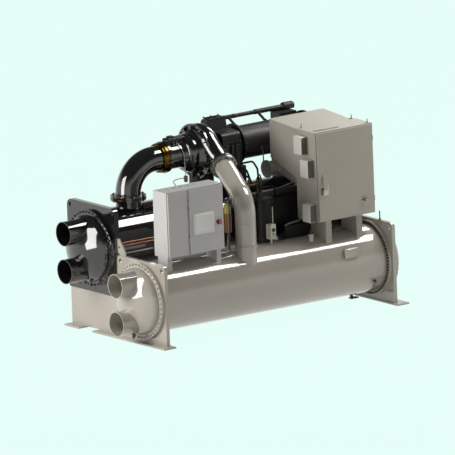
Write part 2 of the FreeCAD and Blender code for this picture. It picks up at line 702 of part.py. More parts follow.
def volute():
    """A stepped hub with a scroll round it whose section grows towards the outlet's neck."""
    scroll = lofted([scroll_ring(step / SCROLL_STEPS) for step in range(SCROLL_STEPS + 1)])
    outlet = outlet_rings()
    start = number("vane_housing_end")
    hub_radius, disc_radius = number("volute_hub_radius"), number("volute_disc_radius")
    disc_start = number("volute_along - volute_finish + volute_disc_depth")
    disc_end = disc_start + number("volute_disc_depth")
    stations = ((start, hub_radius, disc_start, disc_radius * 0.82),
                (disc_start, disc_radius, disc_end, disc_radius),
                (disc_end, hub_radius, number("casing_start"), hub_radius))
    centre_back, centre_up = number(AXIS[0]), number(AXIS[1])
    corners = [FreeCAD.Vector(start, 0, 0)]
    for low, low_radius, high, high_radius in stations:
        corners += [FreeCAD.Vector(low, low_radius, 0), FreeCAD.Vector(high, high_radius, 0)]
    corners += [FreeCAD.Vector(stations[-1][2], 0, 0), corners[0]]
    hub = Part.Face(Part.makePolygon(corners)).revolve(FreeCAD.Vector(), FreeCAD.Vector(1, 0, 0), 360)
    hub.translate(FreeCAD.Vector(0, centre_back, centre_up))
    throat = lofted(outlet[:NECK_STEP + 1])
    keep(set_down("compressor_volute", hub.fuse([scroll, throat]).removeSplitter()))
    keep(set_down("discharge_outlet", lofted(outlet[NECK_STEP:]).cut(hub)))


def gear_casing():
    """A boxy casting with rounded corners, taller at its back."""
    width, height = "casing_width", "casing_height"
    corners = [("casing_round", "0", "casing_round"), (f"{width} - casing_round", "0"),
               (width, "casing_round", "casing_round"), (width, f"{height} - casing_round"),
               (f"{width} - casing_round", height, "casing_round"),
               ("casing_shoulder_width + casing_round / 2", height),
               ("casing_shoulder_width", "casing_shoulder_height"),
               ("casing_round", "casing_shoulder_height"),
               ("0", "casing_shoulder_height - casing_round", "casing_round"),
               ("0", "casing_round")]
    keep(padded("compressor_casing", "YZ_Plane", corners, "casing_end - casing_start",
                ("casing_start", "evaporator_back - casing_front", f"{COMPRESSOR_UP} - casing_below")))


def motor():
    """The round motor housing with its end cover and the box for its terminals."""
    length = "(motor_end - casing_end)"
    ring = "(motor_ring_along - casing_end)"
    corners = [("0", "0"), ("0", "motor_radius"), (ring, "motor_radius"), (ring, "motor_ring_radius"),
               (f"{ring} + motor_ring_depth", "motor_ring_radius"),
               (f"{ring} + motor_ring_depth", "motor_radius"), (length, "motor_radius"), (length, "0")]
    keep(lathed("motor_housing", corners, ("casing_end", *AXIS)))
    cover = [("0", "0"), ("0", "motor_ring_radius"), ("motor_ring_depth", "motor_ring_radius"),
             ("motor_ring_depth", "motor_radius"), ("motor_cover_depth", "motor_radius * 0.7"),
             ("motor_cover_depth", "0")]
    keep(lathed("motor_end_cover", cover, ("motor_end", *AXIS)))
    lid = f"{COMPRESSOR_UP} + crossover_rise - crossover_wide_radius - seat_gap"
    block = box("terminal_block", ("terminal_start", "terminal_end"),
                ("terminal_front", "terminal_back"), (COMPRESSOR_UP, lid))
    seat = cylinder("terminal_seat", ("terminal_start", *AXIS), "motor_radius + seat_gap",
                    "terminal_end - terminal_start", TO_X)
    below = box("terminal_below", ("terminal_start", "terminal_end"),
                ("evaporator_back + motor_radius + seat_gap", "terminal_back"),
                (COMPRESSOR_UP, f"{COMPRESSOR_UP} + motor_radius / 2"))
    keep(cut("terminal_box", block, seat, below))


def saddles():
    """Plates that carry the motor on the evaporator shell."""
    pieces = []
    for name, along in (("front", "front_saddle_along"), ("back", "back_saddle_along")):
        plate = box(f"{name}_saddle_plate", (along, f"{along} + saddle_thickness"),
                    ("evaporator_back - saddle_width / 2", "evaporator_back + saddle_width / 2"),
                    ("evaporator_up", COMPRESSOR_UP))
        seats = [cylinder(f"{name}_saddle_{part}", (along, "evaporator_back", up),
                          f"{radius} + seat_gap", "saddle_thickness", TO_X)
                 for part, up, radius in (("shell", "evaporator_up", "evaporator_radius"),
                                          ("motor", COMPRESSOR_UP, "motor_radius"))]
        pieces.append(cut(f"{name}_saddle", plate, *seats))
    keep(group("motor_saddles", *pieces))


def crossover():
    """The pipe from the casing along the motor's back, on two struts, with a rounded end fitting."""
    along_x = FreeCAD.Vector(1, 0, 0)
    up = f"({COMPRESSOR_UP} + crossover_rise)"
    casing_back = "evaporator_back - casing_front + casing_width"
    stops = [spot("casing_end - crossover_inset", casing_back, up),
             spot("casing_end - crossover_inset", "crossover_back", up),
             spot("crossover_wide_start", "crossover_back", up)]
    pipe = pipe_shape(stops, number("crossover_bend"), number("crossover_radius"))
    wide = Part.makeCylinder(number("crossover_wide_radius"),
                             number("crossover_end - crossover_wide_start"), stops[-1], along_x)
    cap = Part.makeCylinder(number("crossover_cap_radius"), number("crossover_cap_length"),
                            spot("crossover_end - crossover_cap_length / 2", "crossover_back", up), along_x)
    ends = [edge for edge in cap.Edges if isinstance(edge.Curve, Part.Circle)]
    cap = cap.makeFillet(number("crossover_cap_round"), ends)
    angle = math.radians(number("strut_angle"))
    reach = number("motor_radius")
    struts = []
    for along in ("strut_first", "strut_first + strut_spacing"):
        top = spot(along, "crossover_back", up)
        foot = spot(along, *AXIS) + FreeCAD.Vector(0, math.cos(angle), math.sin(angle)) * reach
        struts.append(Part.makeCylinder(number("strut_radius"), (top - foot).Length, top, foot - top))
    whole = pipe.fuse([wide, cap, *struts])
    motor_room = Part.makeCylinder(number("motor_radius + seat_gap"), number("motor_end - casing_end"),
                                   spot("casing_end", *AXIS), along_x)
    corner = spot("terminal_start", "terminal_front", COMPRESSOR_UP)
    terminal_room = Part.makeBox(number("terminal_end - terminal_start + 4 * crossover_cap_radius"),
                                 number("terminal_back - terminal_front + 2 * crossover_cap_radius"),
                                 number(f"{up} - crossover_wide_radius") - corner.z, corner)
    keep(set_down("crossover_pipe", whole.cut([motor_room, terminal_room]).removeSplitter()))


def oil_pipes():
    """Two pipes from the first saddle down to the evaporator shell."""
    start = "front_saddle_along + saddle_thickness"
    front = "(evaporator_back - saddle_width / 2 + 2 * oil_radius)"
    shell_space = Part.makeCylinder(number("evaporator_radius + seat_gap"), number("tube_pitch"),
                                    spot("0", "evaporator_back", "evaporator_up"), FreeCAD.Vector(1, 0, 0))
    pipes = []
    for back, drop, run, fall in ((f"{front} + 3 * oil_radius", "oil_drop", "oil_run", "oil_fall"),
                                  (front, "oil_drop + oil_spacing", "oil_run - 2 * oil_spacing",
                                   "oil_fall + oil_spacing")):
        up = f"({COMPRESSOR_UP} - ({drop}))"
        end = f"{start} + {run}"
        stops = [spot(start, back, up), spot(end, back, up), spot(f"{end} + oil_bend", back, f"{up} - ({fall})"),
                 spot(f"{end} + 1.5 * oil_bend", back, "evaporator_up + evaporator_radius / 2")]
        pipe = pipe_shape(stops, number("oil_bend"), number("oil_radius"))
        pipes.append(pipe.cut(shell_space))
    keep(set_down("oil_pipes", Part.makeCompound(pipes)))


# Discharge line

def discharge_line():
    """The outlet flange and the pipe that drops from it to the condenser."""
    flange, heading, corner = outlet_flange()
    lip_up = f"({CONDENSER_TOP} + discharge_lip_rise)"
    lip = spot("discharge_along", "discharge_back", lip_up)
    radius, wall = number("discharge_radius"), number("discharge_wall")
    pipe = pipe_shape([flange, corner, lip], number("discharge_bend"), radius, wall)
    keep(set_down("discharge_pipe", pipe))
    depth = number("discharge_flange_depth")
    collar = Part.makeCylinder(number("discharge_flange_radius"), depth, flange, heading)
    bore = Part.makeCylinder(radius - wall, depth, flange, heading)
    keep(set_down("discharge_flange", collar.cut(bore)))
    start = ("discharge_along", "discharge_back", "condenser_up")
    top = f"({lip_up} - condenser_up)"
    inside = "discharge_radius - discharge_wall"
    profile = [("0", inside), ("0", "discharge_radius"),
               (f"{top} - discharge_lip_depth", "discharge_radius"),
               (f"{top} - discharge_lip_depth", "discharge_lip_radius"),
               (top, "discharge_lip_radius"), (top, inside)]
    keep(on_condenser("discharge_stub", lathed("discharge_stub_blank", profile, start, UPWARDS)))


# Cabinets

def cabinet(name, along, back, up, opening):
    """A sheet metal box with a doorway in its front."""
    outside = box(name + "_outside", along, back, up)
    inner = [(f"{low} + sheet_metal", f"{high} - sheet_metal") for low, high in (along, back, up)]
    inside = box(name + "_inside", *inner)
    doorway = box(name + "_doorway", opening, (back[0], f"{back[0]} + sheet_metal"),
                  (f"{up[0]} + door_rim", f"{up[1]} - door_rim"))
    return keep(cut(name, outside, inside, doorway))


def hinges(name, along, back, low, high, door_side):
    """Fixed lower knuckles with pins, and the door's upper knuckles, near both ends of a door."""
    fixed, swinging = [], []
    half = "hinge_radius / 2"
    edge = "hinge_radius + door_gap" if door_side == "right" else "-hinge_radius - door_gap"
    sides = (along, f"{along} + {edge}") if door_side == "right" else (f"{along} + {edge}", along)
    for level, up in (("lower", f"{low} + hinge_inset"),
                      ("upper", f"{high} - hinge_inset - 2 * hinge_knuckle")):
        title = f"{name}_{level}"
        start = (along, back, up)
        knuckle = cylinder(title + "_fixed_knuckle", start, "hinge_radius", "hinge_knuckle")
        pin = cylinder(title + "_pin", start, "pin_radius", "2 * hinge_knuckle")
        leaf = box(title + "_fixed_leaf", (f"{along} - {half}", f"{along} + {half}"),
                   (back, f"{back} - hinge_radius + door_depth + door_gap"),
                   (up, f"{up} + hinge_knuckle"))
        fixed.append(join(title + "_fixed", knuckle, pin, leaf))
        above = (along, back, f"{up} + hinge_knuckle + seat_gap")
        barrel = cylinder(title + "_barrel", above, "hinge_radius", "hinge_knuckle - seat_gap")
        flap = box(title + "_flap", sides, (f"{back} - {half}", f"{back} + {half}"),
                   (above[2], f"{up} + 2 * hinge_knuckle"))
        bore = cylinder(title + "_bore", above, "pin_radius + pin_gap", "hinge_knuckle")
        swinging.append(cut(title + "_swinging", join(title + "_door_leaf", barrel, flap), bore))
    keep(group(name + "_hinges", *fixed))
    keep(group(name + "_door_knuckles", *swinging))


def door(name, along, front, low, high):
    """A folded sheet metal door, open at its back."""
    back = f"{front} + door_depth"
    outside = box(name + "_outside", along, (front, back), (low, high))
    inside = box(name + "_inside", tuple(f"{side} {sign} sheet_metal" for side, sign in zip(along, "+-")),
                 (f"{front} + sheet_metal", back), (f"{low} + sheet_metal", f"{high} - sheet_metal"))
    return keep(cut(name, outside, inside))


def leg_pair(name, starts, back, width, up):
    """Two legs cut to the condenser shell's curve."""
    legs = []
    for index, start in enumerate(starts, start=1):
        block = box(f"{name}_block_{index}", (start, f"{start} + {width}"), back, ("condenser_up", up))
        legs.append(on_condenser(f"{name}_{index}", block))
    return keep(group(name, *legs))


def control_panel():
    """The operator's cabinet: a fixed panel on the left and a hinged door on the right."""
    along, back, up = (("panel_start", "panel_end"), ("panel_front", "panel_back"),
                       (PANEL_BOTTOM, PANEL_TOP))
    cabinet("control_box", along, back, up, ("panel_seam + 2 * door_rim", "panel_end - door_rim"))
    front = "(panel_front - door_gap - door_depth)"
    low, high = f"{PANEL_BOTTOM} + door_margin", f"{PANEL_TOP} - door_margin"
    door_start = "(panel_seam + 2 * hinge_radius + 2 * door_gap)"
    door("control_door", (door_start, "panel_end - door_margin"), front, low, high)
    hinges("control", "(panel_seam + hinge_radius + door_gap)", f"({front} + hinge_radius)",
           low, high, "right")
    keep(box("control_fixed_panel", ("panel_start + door_margin", "panel_seam"),
             (f"{front} + hinge_radius", "panel_front"), (low, high)))
    screen = f"({door_start} + screen_inset)"
    screen_top = f"({PANEL_TOP} - screen_drop)"
    keep(box("control_screen", (screen, f"{screen} + screen_width"), (f"{front} - screen_depth", front),
             (f"{screen_top} - screen_height", screen_top)))
    handle = "(panel_end - handle_inset)"
    handle_top = f"({PANEL_TOP} - handle_drop)"
    keep(box("control_handle", (f"{handle} - handle_width", handle), (f"{front} - handle_depth", front),
             (f"{handle_top} - handle_height", handle_top)))
    leg_pair("control_legs", ("panel_start + panel_leg_inset",
                              "panel_end - panel_leg_inset - panel_leg_width"),
             ("panel_front + panel_leg_setback", "panel_back - panel_leg_setback"),
             "panel_leg_width", PANEL_BOTTOM)


def drive_cabinet():
    """The cabinet of the variable speed drive, with a full door, a rear hood and side cowls."""
    along, back, up = (("drive_start", "drive_end"), ("drive_front", "drive_back"),
                       (DRIVE_BOTTOM, DRIVE_TOP))
    cabinet("drive_cabinet", along, back, up, ("drive_start + door_rim", "drive_end - door_rim"))
    front = "(drive_front - door_gap - door_depth)"
    low, high = f"{DRIVE_BOTTOM} + door_margin", f"{DRIVE_TOP} - door_margin"
    door_end = "(drive_end - 2 * hinge_radius - door_gap - door_margin)"
    door("drive_door", ("drive_start + door_margin", door_end), front, low, high)
    hinges("drive", "(drive_end - hinge_radius - door_margin)", f"({front} + hinge_radius)",
           low, high, "left")
    latch, latch_top = "(drive_start + latch_inset)", f"({DRIVE_TOP} - latch_drop)"
    keep(box("drive_latch", (latch, f"{latch} + latch_width"), (f"{front} - latch_depth", front),
             (f"{latch_top} - latch_height", latch_top)))
    hood_top = f"{DRIVE_TOP} + hood_rise"
    hood_outline = [("drive_back", f"{DRIVE_TOP} - hood_front_drop"),
                    ("hood_back", f"{DRIVE_TOP} - hood_back_drop"), ("hood_back", hood_top),
                    ("drive_back", DRIVE_TOP)]
    hood = keep(padded("rear_hood", "YZ_Plane", hood_outline, "drive_end - hood_inset - drive_start",
                       ("drive_start", "0", "0")))
    cowl_places = (("drive_front + upper_cowl_setback", f"{DRIVE_TOP} - upper_cowl_drop"),
                   ("drive_front + middle_cowl_setback", f"{DRIVE_TOP} - middle_cowl_drop"),
                   ("drive_front + lower_cowl_setback", DRIVE_BOTTOM))
    cowls = [box(f"side_cowl_{index}", ("drive_start - cowl_depth", "drive_start"),
                 (start, f"{start} + cowl_width"), (low_edge, f"{low_edge} + cowl_height"))
             for index, (start, low_edge) in enumerate(cowl_places, start=1)]
    keep(group("side_cowls", *cowls))
    leg_pair("drive_legs", ("drive_leg_start", "drive_leg_end - drive_leg_width"),
             ("drive_front + drive_leg_setback", "drive_back - drive_leg_setback"),
             "drive_leg_width", DRIVE_BOTTOM)
    cable_duct(hood)


def cable_duct(hood):
    """A bent duct with a flange, from the back of the drive cabinet towards the motor."""
    up = f"({DRIVE_TOP} - duct_drop)"
    stops = [spot("duct_along", "duct_back", up), spot("drive_start + duct_radius", "duct_back", up),
             spot("drive_start + 1.2 * duct_radius", "drive_back",
                  f"{DRIVE_TOP} - hood_front_drop - duct_radius / 2")]
    shape = pipe_shape(stops, number("duct_bend"), number("duct_radius"))
    shape = shape.fuse(Part.makeCylinder(number("duct_flange_radius"), number("duct_flange_depth"),
                                         stops[0], FreeCAD.Vector(1, 0, 0)))
    blank = set_down("cable_duct_blank", shape)
    room = box("cable_duct_room", ("drive_start", "drive_end"), ("drive_front", "drive_back"),
               (DRIVE_BOTTOM, DRIVE_TOP))
    keep(cut("cable_duct", blank, hood, room))


# Liquid side

def economizer():
    """The economizer on two legs, the rail on its top with two brass valves, and the float drum."""
    keep(box("economizer", ("economizer_start", "economizer_end"),
             ("economizer_front", "economizer_back"), (ECONOMIZER_BOTTOM, ECONOMIZER_TOP)))
    leg_front = "(economizer_front + economizer_leg_setback)"
    leg_pair("economizer_legs",
             ("economizer_start + economizer_leg_inset",
              "economizer_end - economizer_leg_inset - economizer_leg_width"),
             (leg_front, f"{leg_front} + economizer_leg_depth"), "economizer_leg_width",
             ECONOMIZER_BOTTOM)
    middle = "((economizer_front + economizer_back) / 2)"
    rail_top = f"({ECONOMIZER_TOP} + rail_height)"
    keep(box("economizer_rail", ("economizer_start + rail_inset", "economizer_end - rail_inset"),
             (f"{middle} - rail_width / 2", f"{middle} + rail_width / 2"), (ECONOMIZER_TOP, rail_top)))
    valves = [cylinder(f"brass_valve_{index}",
                       (f"economizer_start + valve_inset + {index} * valve_spacing", middle, rail_top),
                       "valve_radius", "valve_height") for index in range(2)]
    keep(group("brass_valves", *valves))
    keep(on_condenser("float_drum", cylinder("float_drum_blank", ("drum_along", "drum_back", "condenser_up"),
                                             "drum_radius", "condenser_radius + drum_rise")))
    keep(on_condenser("oil_cooler", box("oil_cooler_blank", ("cooler_start", "cooler_end"),
                                        ("cooler_front", "cooler_back"),
                                        ("condenser_up", f"{CONDENSER_TOP} + cooler_rise"))))


def liquid_filter():
    """The filter on its pipe, with a cap and a head."""
    start = ("filter_along", "filter_back")
    bottom = f"({CONDENSER_TOP} + filter_rise)"
    keep(cylinder("filter_body", (*start, bottom), "filter_radius", "filter_height"))
    cap = [("0", "0"), ("0", "filter_radius"), ("filter_cap", "filter_radius"),
           ("filter_cap", "filter_head_radius"), ("filter_cap + filter_head", "filter_head_radius"),
           ("filter_cap + filter_head", "0")]
    keep(lathed("filter_cap", cap, (*start, f"{bottom} + filter_height"), UPWARDS))
    keep(on_condenser("filter_pipe", cylinder("filter_pipe_blank", (*start, "condenser_up"),
                                              "filter_radius / 2", "condenser_radius + filter_rise")))


def level_valve():
    """A valve body on a short stem, with a rod above it."""
    along = ("level_along", "level_along + level_width")
    back = ("level_back", "level_back + level_width")
    low = f"({CONDENSER_TOP} + level_rise)"
    body = box("level_valve_body", along, back, (low, f"{low} + level_height"))
    centre = ("level_along + level_width / 2", "level_back + level_width / 2")
    stem = cylinder("level_valve_stem", (*centre, "condenser_up"), "level_stem_radius",
                    "condenser_radius + level_rise")
    rod_start = ("level_along + level_width - 2 * level_rod_radius", centre[1], f"{low} + level_height")
    rod = cylinder("level_valve_rod", rod_start, "level_rod_radius", "level_rod_height")
    keep(on_condenser("level_valve", join("level_valve_blank", body, stem, rod)))


def copper_lines():
    """Two tubes that come out of the near tube sheet's edge and run beside the evaporator."""
    back = "plate_split + copper_radius + copper_inset"
    tubes = [cylinder(f"copper_tube_{index}",
                      ("plate_thickness", back, f"copper_up + {index} * copper_spacing"),
                      "copper_radius", "copper_end - plate_thickness", TO_X) for index in range(2)]
    keep(group("copper_tubes", *tubes))


def build():
    end_plate("near_end_plate", "0")
    end_plate("far_end_plate", "tube_pitch")
    tube_sheet("near_tube_sheet", "-sheet_proud")
    tube_sheet("far_tube_sheet", "tube_pitch")
    near = foot_plates("near_foot", "-foot_outside", "plate_thickness + foot_inside",
                       "anchor_inset - foot_outside")
    far = foot_plates("far_foot", "tube_pitch - foot_inside",
                      "tube_pitch + plate_thickness + foot_outside",
                      "tube_pitch + plate_thickness + foot_outside - anchor_inset")
    keep(group("feet", *near, *far))
    lifting_lug()
    shells()
    inlet_box("condenser", "0", "condenser_reach", "condenser_back", "condenser_up")
    inlet_box("evaporator", "sheet_proud", "evaporator_reach", "evaporator_back", "evaporator_up")
    keep(water_box("condenser_return_box", ("tube_pitch + plate_thickness", "condenser_back",
                                            "condenser_up")))
    keep(water_box("evaporator_return_box", ("tube_pitch + plate_thickness + sheet_proud",
                                             "evaporator_back", "evaporator_up")))
    suction_line()
    guide_vane_housing()
    volute()
    gear_casing()
    motor()
    saddles()
    crossover()
    oil_pipes()
    discharge_line()
    control_panel()
    drive_cabinet()
    economizer()
    liquid_filter()
    level_valve()
    copper_lines()


def check_and_write():
    doc.recompute()
    for thing in doc.Objects:
        if "Invalid" in thing.State or "Error" in thing.State:
            raise ValueError(f"{thing.Name} did not compute: {thing.State}")
    for node in NODES:
        if node.Shape.isNull() or not node.Shape.isValid():
            raise ValueError(f"{node.Label} has no valid shape")
    os.makedirs("parts", exist_ok=True)
    for node in NODES:
        node.Shape.exportStep(f"parts/{node.Label}.step")
        print(node.Label, len(node.Shape.Solids), round(node.Shape.Volume / 1e6, 3))


build()
check_and_write()
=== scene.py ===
import math

import bpy
from mathutils import Matrix, Vector


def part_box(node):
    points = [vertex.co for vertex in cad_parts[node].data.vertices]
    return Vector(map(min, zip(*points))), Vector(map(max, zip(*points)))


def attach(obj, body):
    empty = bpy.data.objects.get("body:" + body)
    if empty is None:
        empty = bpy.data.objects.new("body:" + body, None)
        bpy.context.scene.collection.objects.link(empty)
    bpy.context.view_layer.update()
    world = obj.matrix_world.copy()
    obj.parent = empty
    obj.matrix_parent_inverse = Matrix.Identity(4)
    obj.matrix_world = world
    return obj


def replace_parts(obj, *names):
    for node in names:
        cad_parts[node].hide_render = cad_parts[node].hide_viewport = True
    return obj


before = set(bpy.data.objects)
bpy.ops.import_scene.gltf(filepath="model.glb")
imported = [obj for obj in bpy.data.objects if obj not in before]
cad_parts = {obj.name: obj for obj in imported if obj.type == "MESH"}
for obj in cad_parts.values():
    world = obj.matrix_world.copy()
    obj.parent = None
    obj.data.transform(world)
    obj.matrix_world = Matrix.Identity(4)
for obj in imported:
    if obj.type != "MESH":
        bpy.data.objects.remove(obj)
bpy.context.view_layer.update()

# Places are in metres from the near plate's outer face, the plates' front edge and the ground,
# as in the part's source.
plate_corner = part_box("near_end_plate")[0]
ORIGIN = Vector((plate_corner.x, plate_corner.y, 0))
ALONG, BACK, UP = Vector((1, 0, 0)), Vector((0, 1, 0)), Vector((0, 0, 1))
CONDENSER_BACK, CONDENSER_UP, CONDENSER_RADIUS = 0.520, 0.553, 0.440
EVAPORATOR_BACK, EVAPORATOR_UP, EVAPORATOR_RADIUS = 1.550, 1.097, 0.475
COMPRESSOR_UP = 2.110
HEAD_RADIUS, HEAD_RING, HEAD_RING_DEPTH = 0.440, 0.508, 0.047
SHEET_PROUD = 0.020
FAR_PLATE = 3.705
VOLUTE_COVER = 1.658
CASING_FRONT, CASING_START = 1.250, 1.910
DRIVE_FRONT, DRIVE_TOP = 0.169, 2.400
DRIVE_BODY, PANEL_BODY = "drive_door_leaf", "control_door_leaf"


def spot(x, y, z):
    return ORIGIN + Vector((x, y, z))


# Camera

VIEW_RIGHT = Vector((0.8051, -0.5920, -0.0360))
VIEW_UP = Vector((0.1545, 0.1509, 0.9764))
VIEW_BACK = Vector((-0.5726, -0.7917, 0.2130))
VIEW_WIDTH = 5.888
CAMERA_DISTANCE, CAMERA_REACH = 12, 60
VIEW_CENTRE = VIEW_RIGHT * 0.7817 + VIEW_UP * 1.5633


def make_camera():
    bpy.ops.object.camera_add()
    camera = bpy.context.object
    camera.name = "camera"
    camera.data.type = "ORTHO"
    camera.data.ortho_scale = VIEW_WIDTH
    camera.data.clip_end = CAMERA_REACH
    turn = Matrix((VIEW_RIGHT, VIEW_UP, VIEW_BACK)).transposed().to_4x4()
    camera.matrix_world = Matrix.Translation(ORIGIN + VIEW_CENTRE + VIEW_BACK * CAMERA_DISTANCE) @ turn
    bpy.context.scene.camera = camera


# Materials

def shader_tree(name):
    material = bpy.data.materials.new(name)
    material.use_nodes = True
    nodes, links = material.node_tree.nodes, material.node_tree.links
    shader = nodes["Principled BSDF"]
    return material, nodes, links, shader


def noise(nodes, links, place, scale, detail=4.0, roughness=0.55):
    pattern = nodes.new("ShaderNodeTexNoise")
    pattern.inputs["Scale"].default_value = scale
    pattern.inputs["Detail"].default_value = detail
    pattern.inputs["Roughness"].default_value = roughness
    links.new(place.outputs["Object"], pattern.inputs["Vector"])
    return pattern


def spread(nodes, links, pattern, low, high, start=0.35, end=0.65):
    """Maps a pattern onto a range of plain numbers."""
    ramp = nodes.new("ShaderNodeMapRange")
    ramp.inputs["From Min"].default_value = start
    ramp.inputs["From Max"].default_value = end
    ramp.inputs["To Min"].default_value = low
    ramp.inputs["To Max"].default_value = high
    links.new(pattern.outputs["Fac"], ramp.inputs["Value"])
    return ramp


def tinted(nodes, links, pattern, first, second, start=0.35, end=0.65):
    """Blends two colours by a pattern."""
    ramp = nodes.new("ShaderNodeValToRGB")
    ramp.color_ramp.elements[0].position = start
    ramp.color_ramp.elements[0].color = (*first, 1)
    ramp.color_ramp.elements[1].position = end
    ramp.color_ramp.elements[1].color = (*second, 1)
    links.new(pattern.outputs["Fac"], ramp.inputs["Fac"])
    return ramp


def enamel(name, colour, shade, rough=(0.10, 0.15), coat=1.0, peel=0.02, grain=260.0, mirror=0.5):
    """Sprayed paint: a little colour drift, uneven gloss and the fine ripple of the spray."""
    material, nodes, links, shader = shader_tree(name)
    place = nodes.new("ShaderNodeTexCoord")
    drift = noise(nodes, links, place, 0.7)
    links.new(tinted(nodes, links, drift, colour, shade).outputs["Color"], shader.inputs["Base Color"])
    wear = noise(nodes, links, place, 3.0, 3.0)
    links.new(spread(nodes, links, wear, *rough).outputs["Result"], shader.inputs["Roughness"])
    ripple = noise(nodes, links, place, grain, 2.0)
    bump = nodes.new("ShaderNodeBump")
    bump.inputs["Strength"].default_value = peel
    bump.inputs["Distance"].default_value = 0.002
    links.new(ripple.outputs["Fac"], bump.inputs["Height"])
    links.new(bump.outputs["Normal"], shader.inputs["Normal"])
    shader.inputs["Coat Weight"].default_value = coat
    shader.inputs["Coat Roughness"].default_value = 0.03
    shader.inputs["Coat IOR"].default_value = 1.6
    shader.inputs["IOR"].default_value = 1.6
    shader.inputs["Specular IOR Level"].default_value = mirror
    return material


BEIGE, BEIGE_SHADE = (0.438, 0.406, 0.356), (0.420, 0.389, 0.339)
BLACK, BLACK_SHADE = (0.0065, 0.0065, 0.0070), (0.0095, 0.0093, 0.0095)


def two_tone(name):
    """The shell collars: the condenser's in the shell's colour, the evaporator's black."""
    material = enamel(name, BEIGE, BEIGE_SHADE)
    nodes, links = material.node_tree.nodes, material.node_tree.links
    shader = nodes["Principled BSDF"]
    place = nodes.new("ShaderNodeTexCoord")
    axes = nodes.new("ShaderNodeSeparateXYZ")
    links.new(place.outputs["Object"], axes.inputs["Vector"])
    behind = nodes.new("ShaderNodeMath")
    behind.operation = "GREATER_THAN"
    behind.inputs[1].default_value = ORIGIN.y + (CONDENSER_BACK + EVAPORATOR_BACK) / 2
    links.new(axes.outputs["Y"], behind.inputs[0])
    mix = nodes.new("ShaderNodeMix")
    mix.data_type = "RGBA"
    mix.inputs["B"].default_value = (*BLACK, 1)
    links.new(behind.outputs["Value"], mix.inputs["Factor"])
    links.new(shader.inputs["Base Color"].links[0].from_socket, mix.inputs["A"])
    links.new(mix.outputs["Result"], shader.inputs["Base Color"])
    return material


def brushed(name, colour, shade, rough=(0.2, 0.34), stretch=(1, 1, 14), fine=40.0):
    """Bare metal with fine drawn lines."""
    material, nodes, links, shader = shader_tree(name)
    place = nodes.new("ShaderNodeTexCoord")
    mapping = nodes.new("ShaderNodeMapping")
    mapping.inputs["Scale"].default_value = stretch
    links.new(place.outputs["Object"], mapping.inputs["Vector"])
    lines = nodes.new("ShaderNodeTexNoise")
    lines.inputs["Scale"].default_value = fine
    lines.inputs["Detail"].default_value = 5.0
    links.new(mapping.outputs["Vector"], lines.inputs["Vector"])
    links.new(tinted(nodes, links, lines, colour, shade).outputs["Color"], shader.inputs["Base Color"])
    links.new(spread(nodes, links, lines, *rough).outputs["Result"], shader.inputs["Roughness"])
    bump = nodes.new("ShaderNodeBump")
    bump.inputs["Strength"].default_value = 0.05
    bump.inputs["Distance"].default_value = 0.001
    links.new(lines.outputs["Fac"], bump.inputs["Height"])
    links.new(bump.outputs["Normal"], shader.inputs["Normal"])
    shader.inputs["Metallic"].default_value = 1.0
    return material


